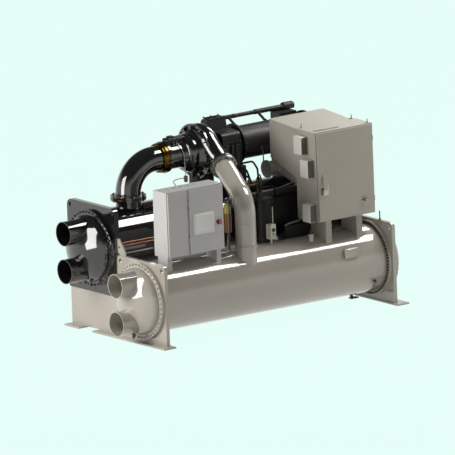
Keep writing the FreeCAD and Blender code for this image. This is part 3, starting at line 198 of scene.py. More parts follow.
def make_materials():
    return {
        "beige": enamel("beige_enamel", BEIGE, BEIGE_SHADE),
        "collars": two_tone("collar_enamel"),
        "pipe": enamel("pipe_enamel", (0.430, 0.408, 0.352), (0.408, 0.386, 0.332), rough=(0.08, 0.12)),
        "flange": enamel("flange_enamel", (0.105, 0.100, 0.078), (0.080, 0.076, 0.060), rough=(0.14, 0.25)),
        "black": enamel("black_enamel", BLACK, BLACK_SHADE, rough=(0.06, 0.12)),
        "cast": enamel("black_casting", (0.007, 0.007, 0.008), (0.012, 0.0115, 0.0115), rough=(0.10, 0.22),
                       peel=0.07, grain=120.0),
        "dull": enamel("dull_black", (0.0070, 0.0068, 0.0060), (0.0105, 0.0100, 0.0090), rough=(0.40, 0.55),
                       coat=0.0, peel=0.10, mirror=0.18),
        "matt": enamel("matt_casting", (0.0085, 0.0085, 0.0082), (0.0140, 0.0135, 0.0128),
                       rough=(0.34, 0.52), coat=0.0, peel=0.16, grain=90.0, mirror=0.30),
        # Lighter grey than the economizer below it: the rail's own grey, and partly a painted highlight
        # along the economizer's top edge.
        "rail": enamel("rail_grey_and_painted_highlight", (0.048, 0.046, 0.043), (0.038, 0.036, 0.034), rough=(0.35, 0.45),
                       coat=0.0),
        "cowl": enamel("cowl_plastic", (0.740, 0.730, 0.695), (0.710, 0.700, 0.665), rough=(0.30, 0.38),
                       coat=0.1),
        "rust": enamel("rust_brown", (0.040, 0.022, 0.014), (0.022, 0.013, 0.010), rough=(0.5, 0.7),
                       coat=0.0),
        "panel": enamel("panel_powder", (0.545, 0.545, 0.540), (0.520, 0.520, 0.515), rough=(0.38, 0.46),
                        coat=0.05, peel=0.12, grain=420.0),
        "drive": enamel("drive_powder", (0.445, 0.420, 0.368), (0.424, 0.400, 0.349), rough=(0.38, 0.46),
                        coat=0.05, peel=0.12, grain=420.0),
        "duct": enamel("duct_powder", (0.250, 0.240, 0.232), (0.220, 0.211, 0.204), rough=(0.3, 0.4),
                       coat=0.2),
        # Dark grey for the device faces, the cowls' grilles and louvres and the drive's top slot. On the
        # grilles and the slot it is partly painted shade: the dark inside of the cowls' open fronts and of
        # the slot under the rail.
        "louvre": enamel("louvre_grey_and_painted_shade", (0.105, 0.100, 0.086), (0.088, 0.084, 0.072), rough=(0.4, 0.5),
                         coat=0.0),
        "gold": brushed("gold_band", (0.150, 0.105, 0.014), (0.100, 0.056, 0.008), rough=(0.16, 0.26)),
        "steel": brushed("plated_steel", (0.42, 0.42, 0.40), (0.30, 0.30, 0.29)),
        "dark_steel": brushed("dark_steel", (0.11, 0.11, 0.10), (0.07, 0.07, 0.065)),
        "brass": brushed("valve_brass", (0.105, 0.088, 0.042), (0.065, 0.054, 0.028), rough=(0.3, 0.45)),
        "copper": brushed("drawn_copper", (0.27, 0.120, 0.065), (0.18, 0.075, 0.042), stretch=(14, 1, 1)),
        "screen": enamel("screen_bezel", (0.800, 0.800, 0.790), (0.780, 0.780, 0.770), rough=(0.3, 0.4),
                         coat=0.2),
        "glass": enamel("display_glass", (0.760, 0.765, 0.760), (0.740, 0.745, 0.740), rough=(0.10, 0.16),
                        coat=0.5),
        "red": enamel("red_knob", (0.420, 0.020, 0.060), (0.340, 0.014, 0.045), rough=(0.2, 0.3), coat=0.6),
        "dark_red": enamel("dark_red_rubber", (0.110, 0.012, 0.018), (0.080, 0.009, 0.013),
                           rough=(0.4, 0.5)),
        "brown": enamel("filter_brown", (0.170, 0.072, 0.010), (0.120, 0.048, 0.007), rough=(0.14, 0.22),
                        coat=1.0),
        "yellow": enamel("filter_yellow", (0.340, 0.300, 0.060), (0.290, 0.250, 0.045), rough=(0.2, 0.3),
                         coat=0.7),
        "valve": enamel("valve_grey", (0.560, 0.540, 0.440), (0.480, 0.460, 0.370), rough=(0.3, 0.4)),
        "shadow": enamel("opening_dark", (0.012, 0.012, 0.011), (0.016, 0.016, 0.014), rough=(0.5, 0.7),
                         coat=0.0),
    }


NODE_FINISH = {
    "beige": ("near_end_plate", "far_end_plate", "feet", "lifting_lug", "condenser_shell",
              "condenser_nozzles", "condenser_inlet_box", "condenser_return_box", "discharge_stub"),
    "collars": ("shell_collars",),
    "pipe": ("discharge_pipe",),
    "flange": ("discharge_flange",),
    "black": ("near_tube_sheet", "far_tube_sheet", "evaporator_shell", "evaporator_nozzles",
              "evaporator_inlet_box", "evaporator_return_box", "suction_stub", "suction_elbow",
              "filter_pipe"),
    "cast": ("guide_vane_housing", "compressor_volute", "discharge_outlet"),
    "matt": ("compressor_casing", "motor_housing", "motor_end_cover", "terminal_box", "crossover_pipe",
             "motor_saddles"),
    "dull": ("economizer", "economizer_legs", "float_drum", "oil_cooler", "oil_pipes"),
    "rail": ("economizer_rail",),
    "panel": ("control_box", "control_door", "control_fixed_panel", "control_legs", "control_hinges",
              "control_door_knuckles"),
    "drive": ("drive_cabinet", "drive_door", "rear_hood", "drive_legs", "drive_latch"),
    "cowl": ("side_cowls",),
    "duct": ("cable_duct",),
    "gold": ("suction_gasket", "inlet_band"),
    "steel": ("drive_hinges", "drive_door_knuckles"),
    "brass": ("brass_valves",),
    "copper": ("copper_tubes",),
    "screen": ("control_screen",),
    "red": ("control_handle",),
    "brown": ("filter_body",),
    "yellow": ("filter_cap",),
    "valve": ("level_valve",),
}


def paint_nodes():
    for finish, names in NODE_FINISH.items():
        for name in names:
            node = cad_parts[name]
            node.material_slots[0].material = materials[finish]


# Tools for the added pieces

def deselect():
    if bpy.context.object and bpy.context.object.mode != "OBJECT":
        bpy.ops.object.mode_set(mode="OBJECT")
    bpy.ops.object.select_all(action="DESELECT")


def settle(piece, name, finish, body="chiller", angle=35):
    """Puts a piece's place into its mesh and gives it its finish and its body."""
    deselect()
    piece.select_set(True)
    bpy.context.view_layer.objects.active = piece
    bpy.ops.object.transform_apply(location=True, rotation=True, scale=True)
    bpy.ops.object.shade_smooth_by_angle(angle=math.radians(angle))
    piece.name = name
    piece.data.name = name
    piece.data.materials.clear()
    piece.data.materials.append(materials[finish])
    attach(piece, body)
    return piece


def joined(pieces):
    deselect()
    for piece in pieces:
        piece.select_set(True)
    bpy.context.view_layer.objects.active = pieces[0]
    if len(pieces) > 1:
        bpy.ops.object.join()
    return bpy.context.object


def facing(axis):
    """A turn that takes Z onto an axis."""
    return axis.to_track_quat("Z", "Y").to_matrix().to_4x4()


def turned_piece(centre, axis, steps, sides=32):
    """A round piece grown from a disc, step by step along its axis: (height, radius) pairs."""
    deselect()
    bpy.ops.mesh.primitive_circle_add(vertices=sides, radius=steps[0][1], fill_type="NGON")
    piece = bpy.context.object
    bpy.ops.object.mode_set(mode="EDIT")
    bpy.ops.mesh.select_all(action="SELECT")
    height, radius = steps[0]
    bpy.ops.transform.translate(value=(0, 0, height))
    for next_height, next_radius in steps[1:]:
        bpy.ops.mesh.extrude_region_move(TRANSFORM_OT_translate={"value": (0, 0, next_height - height)})
        scale = next_radius / radius
        bpy.ops.transform.resize(value=(scale, scale, 1), center_override=(0, 0, next_height))
        height, radius = next_height, next_radius
    bpy.ops.mesh.select_all(action="SELECT")
    bpy.ops.mesh.normals_make_consistent(inside=False)
    bpy.ops.object.mode_set(mode="OBJECT")
    piece.matrix_world = Matrix.Translation(centre) @ facing(axis)
    return piece


def block(low, high, bevel=0.004, segments=2):
    """A block between two corners with rounded edges."""
    deselect()
    centre, size = (low + high) / 2, high - low
    bpy.ops.mesh.primitive_cube_add(size=1, location=centre)
    piece = bpy.context.object
    piece.scale = size
    bpy.ops.object.transform_apply(location=False, rotation=False, scale=True)
    bpy.ops.object.mode_set(mode="EDIT")
    bpy.ops.mesh.select_all(action="SELECT")
    bpy.ops.mesh.bevel(offset=bevel, segments=segments, affect="EDGES")
    bpy.ops.object.mode_set(mode="OBJECT")
    return piece


def framed_plate(low, high, normal, rim, depth, bevel=0.002):
    """A block whose face on one side is set back inside a rim."""
    piece = block(low, high, bevel, 1)
    bpy.ops.object.mode_set(mode="EDIT")
    bpy.ops.mesh.select_all(action="DESELECT")
    bpy.ops.object.mode_set(mode="OBJECT")
    faces = [face for face in piece.data.polygons if face.normal.dot(normal) > 0.99]
    max(faces, key=lambda face: face.area).select = True
    bpy.ops.object.mode_set(mode="EDIT")
    bpy.ops.mesh.select_mode(type="FACE")
    bpy.ops.mesh.inset(thickness=rim)
    bpy.ops.transform.translate(value=-normal * depth)
    bpy.ops.object.mode_set(mode="OBJECT")
    return piece


def pipe_along(points, radius):
    """A thin tube whose line is one smooth curve through its control points."""
    deselect()
    bpy.ops.curve.primitive_nurbs_path_add()
    path = bpy.context.object
    curve = path.data
    curve.splines.clear()
    spline = curve.splines.new("NURBS")
    spline.points.add(len(points) - 1)
    for held, point in zip(spline.points, points):
        held.co = (*point, 1)
    spline.order_u = 3
    spline.use_endpoint_u = True
    curve.bevel_depth = radius
    curve.bevel_resolution = 3
    curve.resolution_u = 12
    curve.use_fill_caps = True
    path.matrix_world = Matrix.Identity(4)
    bpy.ops.object.convert(target="MESH")
    return bpy.context.object


def copies(master, places):
    """A copy of a modelled piece at each place, with its own mesh, in one object."""
    made = []
    for place in places:
        piece = master.copy()
        piece.data = master.data.copy()
        bpy.context.scene.collection.objects.link(piece)
        piece.matrix_world = place @ master.matrix_world
        made.append(piece)
    bpy.data.objects.remove(master)
    return joined(made)


def bolt(size):
    """A hexagon bolt head on its washer, standing on Z."""
    washer = turned_piece(Vector(), UP, ((0, size * 1.05), (size * 0.16, size * 1.05), (size * 0.2, size)),
                          16)
    head = turned_piece(Vector(), UP, ((size * 0.2, size * 0.88), (size * 0.72, size * 0.88),
                                       (size * 0.86, size * 0.72)), 6)
    tip = turned_piece(Vector(), UP, ((size * 0.86, size * 0.46), (size * 1.2, size * 0.46),
                                      (size * 1.28, size * 0.36)), 10)
    return joined([washer, head, tip])


def on_ring(centre, axis, radius, count, start=0.5):
    """Places round a ring, each facing along the ring's axis."""
    turn = facing(axis)
    return [Matrix.Translation(centre) @ turn
            @ Matrix.Rotation(2 * math.pi * (index + start) / count, 4, "Z")
            @ Matrix.Translation((radius, 0, 0)) for index in range(count)]


def bolt_ring(name, centre, axis, radius, count, size, finish):
    return settle(copies(bolt(size), on_ring(centre, axis, radius, count)), name, finish, angle=30)


# Bolts

def make_bolts():
    ring_middle = (HEAD_RING + HEAD_RADIUS) / 2 + 0.006
    heads = (("condenser", CONDENSER_BACK, CONDENSER_UP, 0.0, "beige", "shell_paint"),
             ("evaporator", EVAPORATOR_BACK, EVAPORATOR_UP, SHEET_PROUD, "black", "black_paint"))
    for vessel, back, up, proud, finish, slot in heads:
        bolt_ring(f"{vessel}_inlet_bolts", spot(-proud - HEAD_RING_DEPTH, back, up), -ALONG,
                  ring_middle, 44, 0.017, finish)
        bolt_ring(f"{vessel}_return_bolts", spot(FAR_PLATE + proud + HEAD_RING_DEPTH, back, up), ALONG,
                  ring_middle, 44, 0.017, finish)
    # The condenser's collar bolts are dark steel, large and close set. This is partly the bolts' own colour
    # and partly painted shade that darkens the collar's band, which lies in shade.
    collars = (("condenser", CONDENSER_BACK, CONDENSER_UP, CONDENSER_RADIUS + 0.024, 72, 0.015,
                "dark_steel", "steel"),
               ("evaporator", EVAPORATOR_BACK, EVAPORATOR_UP, EVAPORATOR_RADIUS + 0.0115, 60, 0.007,
                "black", "black_paint"))
    for vessel, back, up, middle, count, size, finish, slot in collars:
        bolt_ring(f"{vessel}_far_collar_bolts", spot(3.619, back, up), -ALONG,
                  middle, count, size, finish)
        bolt_ring(f"{vessel}_near_collar_bolts", spot(0.086, back, up), ALONG,
                  middle, count, size, finish)
    riser = spot(0.590, EVAPORATOR_BACK, 1.700)
    bolt_ring("riser_bolts", riser, UP, 0.204, 16, 0.017, "black")
    bolt_ring("riser_nuts", riser - UP * 0.056, -UP, 0.204, 16, 0.017, "black")
    axis = (EVAPORATOR_BACK, COMPRESSOR_UP)
    bolt_ring("vane_housing_bolts", spot(1.536, *axis), -ALONG, 0.228, 20, 0.011, "cast")
    bolt_ring("vane_flange_bolts", spot(1.186, *axis), ALONG, 0.194, 16, 0.010, "cast")
    bolt_ring("volute_cover_bolts", spot(VOLUTE_COVER, *axis), -ALONG, 0.332, 24, 0.012, "dark_steel")
    bolt_ring("motor_ring_bolts", spot(2.330, *axis), ALONG, 0.241, 24, 0.013, "cast")
    bolt_ring("motor_cover_bolts", spot(3.450, *axis), ALONG, 0.241, 24, 0.013, "cast")
    bolt_ring("stub_lip_bolts", spot(1.550, 0.312, 1.075), UP, 0.1445, 12, 0.005, "beige")


# Discharge line

FLANGE_CENTRE = spot(1.762, 1.021, 1.958)
ELBOW_CORNER = spot(1.550, 0.312, 1.660)


def make_discharge_details():
    heading = (FLANGE_CENTRE - ELBOW_CORNER).normalized()
    bolt_ring("discharge_flange_bolts", FLANGE_CENTRE, -heading, 0.1545, 12, 0.017, "steel")
    rim = turned_piece(FLANGE_CENTRE + heading * 0.010, heading,
                       ((0, 0.1722), (0.002, 0.1760), (0.024, 0.1760), (0.026, 0.1722)), 64)
    settle(rim, "discharge_clamp", "steel")
    ring = turned_piece(FLANGE_CENTRE + heading * 0.054, heading,
                        ((0, 0.1600), (0.002, 0.1730), (0.006, 0.1760), (0.026, 0.1760), (0.030, 0.1730),
                         (0.032, 0.1600)), 64)
    settle(ring, "outlet_ring", "cast", angle=50)
    bolt_ring("outlet_ring_bolts", FLANGE_CENTRE + heading * 0.086, heading, 0.164, 12, 0.013, "dark_steel")
    pipe = (1.550, 0.312)
    seams = [turned_piece(spot(*pipe, up), UP, ((-0.006, 0.1362), (-0.003, 0.1388), (0.003, 0.1388),
                                                (0.006, 0.1362)), 64) for up in (1.375, 1.105)]
    settle(joined(seams), "discharge_weld_seams", "pipe")


# Cabinets

def make_drive_details():
    """Eye bolts, the top's rail and slot, the turn handle, the cowls with their grilles, and the latch."""
    eyes = []
    for along, back in ((2.704, 0.600), (3.498, 0.585), (3.495, 0.235)):
        base = turned_piece(spot(along, back, DRIVE_TOP), UP,
                            ((0, 0.020), (0.008, 0.020), (0.012, 0.010), (0.022, 0.009)), 20)
        deselect()
        bpy.ops.mesh.primitive_torus_add(major_radius=0.020, minor_radius=0.006, major_segments=28,
                                         minor_segments=10, location=spot(along, back, DRIVE_TOP + 0.040),
                                         rotation=(math.pi / 2, 0, 0.9))
        eyes += [base, bpy.context.object]
    settle(joined(eyes), "drive_eye_bolts", "steel")
    rail = block(spot(2.690, 0.298, DRIVE_TOP - 0.002), spot(3.080, 0.336, DRIVE_TOP + 0.012), 0.004, 3)
    settle(rail, "drive_top_rail", "drive")
    # The slot is dark grey: painted shade in the groove under the top's rail.
    slot = framed_plate(spot(2.695, 0.284, DRIVE_TOP - 0.002), spot(3.075, 0.300, DRIVE_TOP + 0.006), UP,
                        0.003, 0.003, 0.001)
    settle(slot, "drive_top_slot", "louvre")
    handle_at = spot(3.353, DRIVE_FRONT, 1.416)
    ring = turned_piece(handle_at, -BACK, ((0, 0.046), (0.004, 0.046), (0.008, 0.040), (0.008, 0.032),
                                           (0.003, 0.030)), 40)
    hub = turned_piece(handle_at, -BACK, ((0, 0.018), (0.022, 0.017), (0.028, 0.013)), 28)
    settle(ring, "drive_turn_ring", "steel", body=DRIVE_BODY)
    settle(hub, "drive_turn_handle", "dark_steel", body=DRIVE_BODY)
    lever = block(handle_at + Vector((-0.012, -0.034, -0.009)), handle_at + Vector((0.062, -0.020, 0.009)),
                  0.005)
    settle(lever, "drive_turn_lever", "steel", body=DRIVE_BODY)
    cowls, grilles, louvres = [], [], []
    for front, low in ((0.385, 2.090), (0.260, 1.800), (0.240, 1.215)):
        cowls.append(block(spot(2.530, front, low), spot(2.6315, front + 0.172, low + 0.240), 0.016, 4))
        grilles.append(framed_plate(spot(2.541, front - 0.006, low + 0.010),
                                    spot(2.630, front + 0.002, low + 0.230), -BACK, 0.004, 0.002, 0.001))
        for step in range(14):
            up = low + 0.022 + step * 0.0145
            louvres.append(block(spot(2.548, front - 0.0055, up), spot(2.624, front - 0.003, up + 0.006),
                                 0.001, 1))
    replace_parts(settle(joined(cowls), "rounded_cowls", "cowl", angle=40), "side_cowls")
    plate = framed_plate(spot(2.668, 0.164, 1.567), spot(2.790, 0.1695, 1.706), -BACK, 0.005, 0.0015, 0.001)
    settle(plate, "latch_plate", "cowl", body=DRIVE_BODY)
    lock = block(spot(2.673, 0.150, 1.575), spot(2.700, 0.166, 1.672), 0.005, 3)
    settle(lock, "latch_lever", "dark_steel", body=DRIVE_BODY)
    # The cowls' fronts: solid grille plates and louvres in dark grey. This is partly their own colour and
    # partly painted shade standing in for the dark inside the open vents.
    settle(joined(grilles), "cowl_grilles", "louvre")
    settle(joined(louvres), "cowl_louvres", "louvre")


def make_panel_details():
    """The display, the knob's stem, the rods in the seam, the side's plate and the cable glands."""
    glass = framed_plate(spot(0.676, 0.206, 1.386), spot(0.956, 0.2095, 1.614), -BACK, 0.006, 0.0015, 0.001)
    settle(glass, "control_display", "glass", body=PANEL_BODY)
    stem = turned_piece(spot(1.046, 0.2175, 1.479), -BACK, ((0, 0.030), (0.012, 0.030), (0.020, 0.022)), 28)
    settle(stem, "handle_stem", "dark_steel", body=PANEL_BODY)
    rods = [turned_piece(spot(0.5805, 0.2388, low), UP,
                         ((0, 0.0080), (0.002, 0.0095), (length - 0.002, 0.0095), (length, 0.0080)), 24)
            for low, length in ((1.122, 0.146), (1.370, 0.338), (1.810, 0.146))]
    settle(joined(rods), "panel_seam_rods", "panel")
    side_plate = framed_plate(spot(0.2485, 0.300, 1.150), spot(0.2515, 0.500, 1.310), -ALONG,
                              0.004, 0.0008, 0.0005)
    settle(side_plate, "panel_side_plate", "panel")
    glands = []
    for index in range(5):
        glands.append(turned_piece(spot(0.400 + 0.11 * index, 0.440, 1.972), UP,
                                   ((0, 0.018), (0.010, 0.018), (0.012, 0.013), (0.022, 0.012)), 6))
    settle(joined(glands), "panel_glands", "panel")


def make_cabinet_insides():
    """What the open doors show: mounting plates with wire ducts and rows of plain device blocks."""
    for cabinet, node, start, end, rows in (
            ("drive", "drive_cabinet", 2.700, 3.480, ((2.130, 0.170, 0.120, 5), (1.800, 0.220, 0.160, 3),
                                                      (1.440, 0.240, 0.180, 4))),
            ("panel", "control_box", 0.640, 1.100, ((1.760, 0.110, 0.060, 5), (1.520, 0.130, 0.070, 3),
                                                    (1.290, 0.090, 0.050, 6)))):
        low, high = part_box(node)
        back = high.y - ORIGIN.y - 0.004
        plate = framed_plate(spot(start, back - 0.012, low.z + 0.070),
                             spot(end, back + 0.001, high.z - 0.070), -BACK, 0.010, 0.004, 0.002)
        settle(plate, f"{cabinet}_mounting_plate", "steel")
        ducts, blocks, faces = [], [], []
        for up, tall, deep, count in rows:
            ducts.append(framed_plate(spot(start + 0.020, back - 0.050, up - tall / 2 - 0.042),
                                      spot(end - 0.020, back - 0.008, up - tall / 2 - 0.010),
                                      -BACK, 0.005, 0.003))
            pitch = (end - start - 0.080) / count
            for index in range(count):
                left = start + 0.040 + pitch * index
                right = left + pitch
                blocks.append(block(spot(left + 0.008, back - deep, up - tall / 2),
                                    spot(right - 0.008, back - 0.008, up + tall / 2), 0.005))
                faces.append(framed_plate(spot(left + 0.016, back - deep - 0.006, up - tall * 0.34),
                                          spot(right - 0.016, back - deep + 0.002, up + tall * 0.34),
                                          -BACK, 0.006, 0.003, 0.001))
        settle(joined(ducts), f"{cabinet}_wire_ducts", "cowl")
        settle(joined(blocks), f"{cabinet}_device_blocks", "duct")
        settle(joined(faces), f"{cabinet}_device_faces", "louvre")


# Small things on the shells

def make_shell_details():
    bracket = framed_plate(spot(2.962, 0.088, 0.700), spot(3.165, 0.150, 0.822), -BACK, 0.006, 0.003, 0.004)
    settle(bracket, "plate_bracket", "beige")
    stub = turned_piece(spot(2.614, 0.350, 0.950), UP, ((0, 0.034), (0.070, 0.034), (0.074, 0.040),
                                                        (0.094, 0.040), (0.098, 0.034)), 32)
    settle(stub, "relief_stub", "beige")
    plugs = [turned_piece(spot(3.440, 0.118, 0.330), Vector((0, -0.9, -0.43)),
                          ((-0.02, 0.018), (0.012, 0.018), (0.014, 0.012), (0.026, 0.012)), 6),
             turned_piece(spot(-0.150, 0.520, 0.118), -UP,
                          ((-0.03, 0.020), (0.030, 0.020), (0.034, 0.014), (0.048, 0.014)), 8)]
    settle(joined(plugs), "condenser_plugs", "dark_steel")
    drains = [turned_piece(spot(-0.150, EVAPORATOR_BACK + shift, 0.670), -UP,
                           ((-0.03, 0.018), (0.030, 0.018), (0.034, 0.012), (0.046, 0.012)), 8)
              for shift in (-0.12, 0.12)]
    settle(joined(drains), "evaporator_plugs", "black")
    wells = [turned_piece(spot(along, EVAPORATOR_BACK + 0.468 * math.cos(math.radians(lift)),
                               EVAPORATOR_UP + 0.468 * math.sin(math.radians(lift))),
                          Vector((0, math.cos(math.radians(lift)), math.sin(math.radians(lift)))),
                          ((0, size), (0.018, size), (0.022, size * 0.72), (0.044, size * 0.72),
                           (0.048, size * 0.5)), 24)
             for along, lift, size in ((0.900, -20, 0.030), (1.850, -20, 0.042), (2.750, -20, 0.042),
                                       (3.250, 25, 0.026))]
    settle(joined(wells), "evaporator_wells", "cast")
    rod = turned_piece(spot(3.680, 0.290, 1.075), UP, ((0, 0.016), (0.020, 0.016), (0.022, 0.008),
                                                       (0.120, 0.008), (0.124, 0.005)), 20)
    settle(rod, "far_plate_rod", "dark_steel")
    body = turned_piece(spot(3.350, 0.520, 0.118), -UP, ((0, 0.016), (0.030, 0.016), (0.032, 0.022),
                                                         (0.056, 0.022), (0.058, 0.014),
                                                         (0.076, 0.014)), 20)
    settle(body, "drain_cock", "brass")
    handle = block(spot(3.290, 0.436, 0.060), spot(3.410, 0.512, 0.078), 0.007, 3)
    settle(handle, "drain_cock_lever", "red")


def make_compressor_details():
    """The sensor with its line and wire, and the collar, fittings, shoulder and actuator of the vanes."""
    axis_y, axis_z = EVAPORATOR_BACK, COMPRESSOR_UP
    line = pipe_along([spot(1.335, axis_y - 0.060, axis_z + 0.190),
                       spot(1.340, axis_y - 0.130, axis_z + 0.150),
                       spot(1.365, axis_y - 0.186, axis_z + 0.060),
                       spot(1.375, axis_y - 0.190, axis_z - 0.080),
                       spot(1.380, axis_y - 0.190, axis_z - 0.200),
                       spot(1.380, axis_y - 0.190, axis_z - 0.270)], 0.006)
    settle(line, "sensor_line", "steel")
    sensor = block(spot(1.360, 1.338, 1.775), spot(1.402, 1.382, 1.860), 0.008)
    settle(sensor, "sensor_body", "dark_red")
    loop = pipe_along([spot(1.360, 1.360, 1.830), spot(1.250, 1.360, 1.838), spot(1.185, 1.360, 1.820),
                       spot(1.180, 1.360, 1.800), spot(1.225, 1.360, 1.745), spot(1.240, 1.360, 1.650),
                       spot(1.240, 1.360, 1.525)], 0.005)
    settle(loop, "sensor_wire", "black")
    collar = turned_piece(spot(1.060, axis_y, axis_z), ALONG, ((0, 0.168), (0.002, 0.186), (0.010, 0.192),
                                                              (0.038, 0.192), (0.050, 0.198)), 64)
    settle(collar, "elbow_collar", "gold")
    rises = []
    for along, angle, size in ((1.220, 5, 0.030), (1.285, 18, 0.024), (1.350, -4, 0.032),
                               (1.440, 10, 0.022)):
        lean = math.radians(angle)
        outward = Vector((0, -math.sin(lean), math.cos(lean)))
        foot = spot(along, axis_y, axis_z) + outward * 0.170
        rises.append(turned_piece(foot, outward, ((0, size), (0.024, size), (0.028, size * 0.7),
                                                  (0.046, size * 0.62), (0.050, size * 0.4)), 12))
    settle(joined(rises), "vane_fittings", "matt")
    shoulder = turned_piece(spot(1.440, axis_y, axis_z), ALONG,
                            ((0, 0.180), (0.012, 0.204), (0.028, 0.224), (0.050, 0.240), (0.075, 0.249),
                             (0.090, 0.2505)), 72)
    settle(shoulder, "vane_shoulder", "cast", angle=50)
    cap = block(spot(1.195, 1.490, 2.265), spot(1.500, 1.610, 2.350), 0.022, 4)
    arm = block(spot(1.250, 1.515, 2.345), spot(1.330, 1.585, 2.372), 0.008, 3)
    settle(joined([cap, arm]), "vane_actuator", "matt")
    tube = pipe_along([spot(2.588, 1.346, 2.072), spot(2.588, 1.312, 2.030), spot(2.588, 1.296, 1.940),
                       spot(2.588, 1.300, 1.866)], 0.008)
    settle(tube, "motor_drain_tube", "dark_red")


def make_casing_details():
    """The gear casing's cover plates and their bolts, its side cover and the sump below it."""
    front, left = CASING_FRONT, CASING_START
    covers = [framed_plate(spot(1.935, front - 0.012, 1.885), spot(2.175, front + 0.002, 2.170), -BACK,
                           0.018, 0.006, 0.003),
              framed_plate(spot(left + 0.020, 1.560, 2.478), spot(2.180, 1.700, 2.490), UP, 0.014, 0.004,
                           0.003),
              block(spot(left - 0.002, front - 0.016, 2.196), spot(2.202, front + 0.004, 2.228), 0.005, 2)]
    for along in (1.9150, 2.1900):
        covers.append(block(spot(along - 0.005, front - 0.008, 1.870),
                            spot(along + 0.009, front + 0.003, 2.262), 0.004, 2))
    for back in (1.575, 1.620, 1.665):
        covers.append(block(spot(left + 0.050, back - 0.006, 2.486), spot(2.150, back + 0.006, 2.496),
                            0.003, 2))
    settle(joined(covers), "casing_covers", "matt")
    flange_places = [Matrix.Translation(spot(1.940 + 0.044 * index, front - 0.016, 2.212)) @ facing(-BACK)
                     for index in range(6)]
    cover_places = [Matrix.Translation(spot(along, front - 0.012, up)) @ facing(-BACK)
                    for along in (1.945, 2.165) for up in (1.897, 1.985, 2.072, 2.160)]
    lid_places = [Matrix.Translation(spot(along, back, 2.490))
                  for along in (1.938, 2.055, 2.172) for back in (1.567, 1.693)]
    settle(copies(bolt(0.011), flange_places + lid_places), "casing_flange_bolts", "dark_steel",
           angle=30)
    settle(copies(bolt(0.008), cover_places), "casing_cover_bolts", "matt", angle=30)
    rusty = framed_plate(spot(1.922, front - 0.017, 2.045), spot(1.985, front - 0.006, 2.186), -BACK, 0.006,
                         0.003, 0.003)
    settle(rusty, "casing_side_cover", "rust")
    sump = [block(spot(2.200, 1.320, 1.500), spot(2.332, 1.600, 1.858), 0.018, 3),
            block(spot(2.190, 1.308, 1.690), spot(2.344, 1.612, 1.716), 0.006, 2)]
    settle(joined(sump), "sump_casting", "matt")


def make_compressor_supports():
    """The volute's bracket and webs, the sleeves on the pipe and its struts, and the casing's uprights."""
    bracket = [block(spot(1.600, 1.420, 1.556), spot(1.905, 1.680, 1.586), 0.006, 2),
               block(spot(1.640, 1.450, 1.580), spot(1.672, 1.650, 1.800), 0.008, 2),
               block(spot(1.868, 1.450, 1.580), spot(1.900, 1.650, 1.860), 0.008, 2),
               block(spot(1.650, 1.470, 1.580), spot(1.890, 1.502, 1.790), 0.006, 2)]
    settle(joined(bracket), "volute_bracket", "matt")
    web = block(Vector((-0.030, -0.006, -0.004)), Vector((0.024, 0.006, 0.040)), 0.004, 2)
    webs = on_ring(spot(VOLUTE_COVER, EVAPORATOR_BACK, COMPRESSOR_UP), -ALONG, 0.318, 12, 0.0)
    settle(copies(web, webs), "volute_webs", "cast")
    sleeves = []
    for along in (2.440, 2.910):
        foot, top = spot(along, 1.6655, 2.2949), spot(along, 1.842, 2.395)
        heading = (top - foot).normalized()
        sleeves.append(turned_piece(foot + heading * 0.004, heading,
                                    ((0, 0.026), (0.010, 0.026), (0.016, 0.0185), (0.172, 0.0185),
                                     (0.176, 0.015)), 24))
    settle(joined(sleeves), "strut_sleeves", "matt")
    uprights = [block(spot(along - 0.016, 1.222, 1.880), spot(along + 0.016, 1.254, 2.190), 0.008, 2)
                for along in (2.050, 2.120)]
    pot = turned_piece(spot(2.000, 1.222, 1.905), UP, ((0, 0.020), (0.010, 0.028), (0.110, 0.028),
                                                       (0.122, 0.018), (0.150, 0.014)), 28)
    settle(joined([*uprights, pot]), "casing_uprights", "matt")
    sleeve = turned_piece(spot(2.190, 1.842, 2.395), ALONG,
                          ((0, 0.0215), (0.006, 0.0275), (0.330, 0.0275), (0.334, 0.0300),
                           (0.352, 0.0300), (0.356, 0.0275), (0.662, 0.0275), (0.668, 0.0330)), 28)
    settle(sleeve, "crossover_sleeve", "matt")


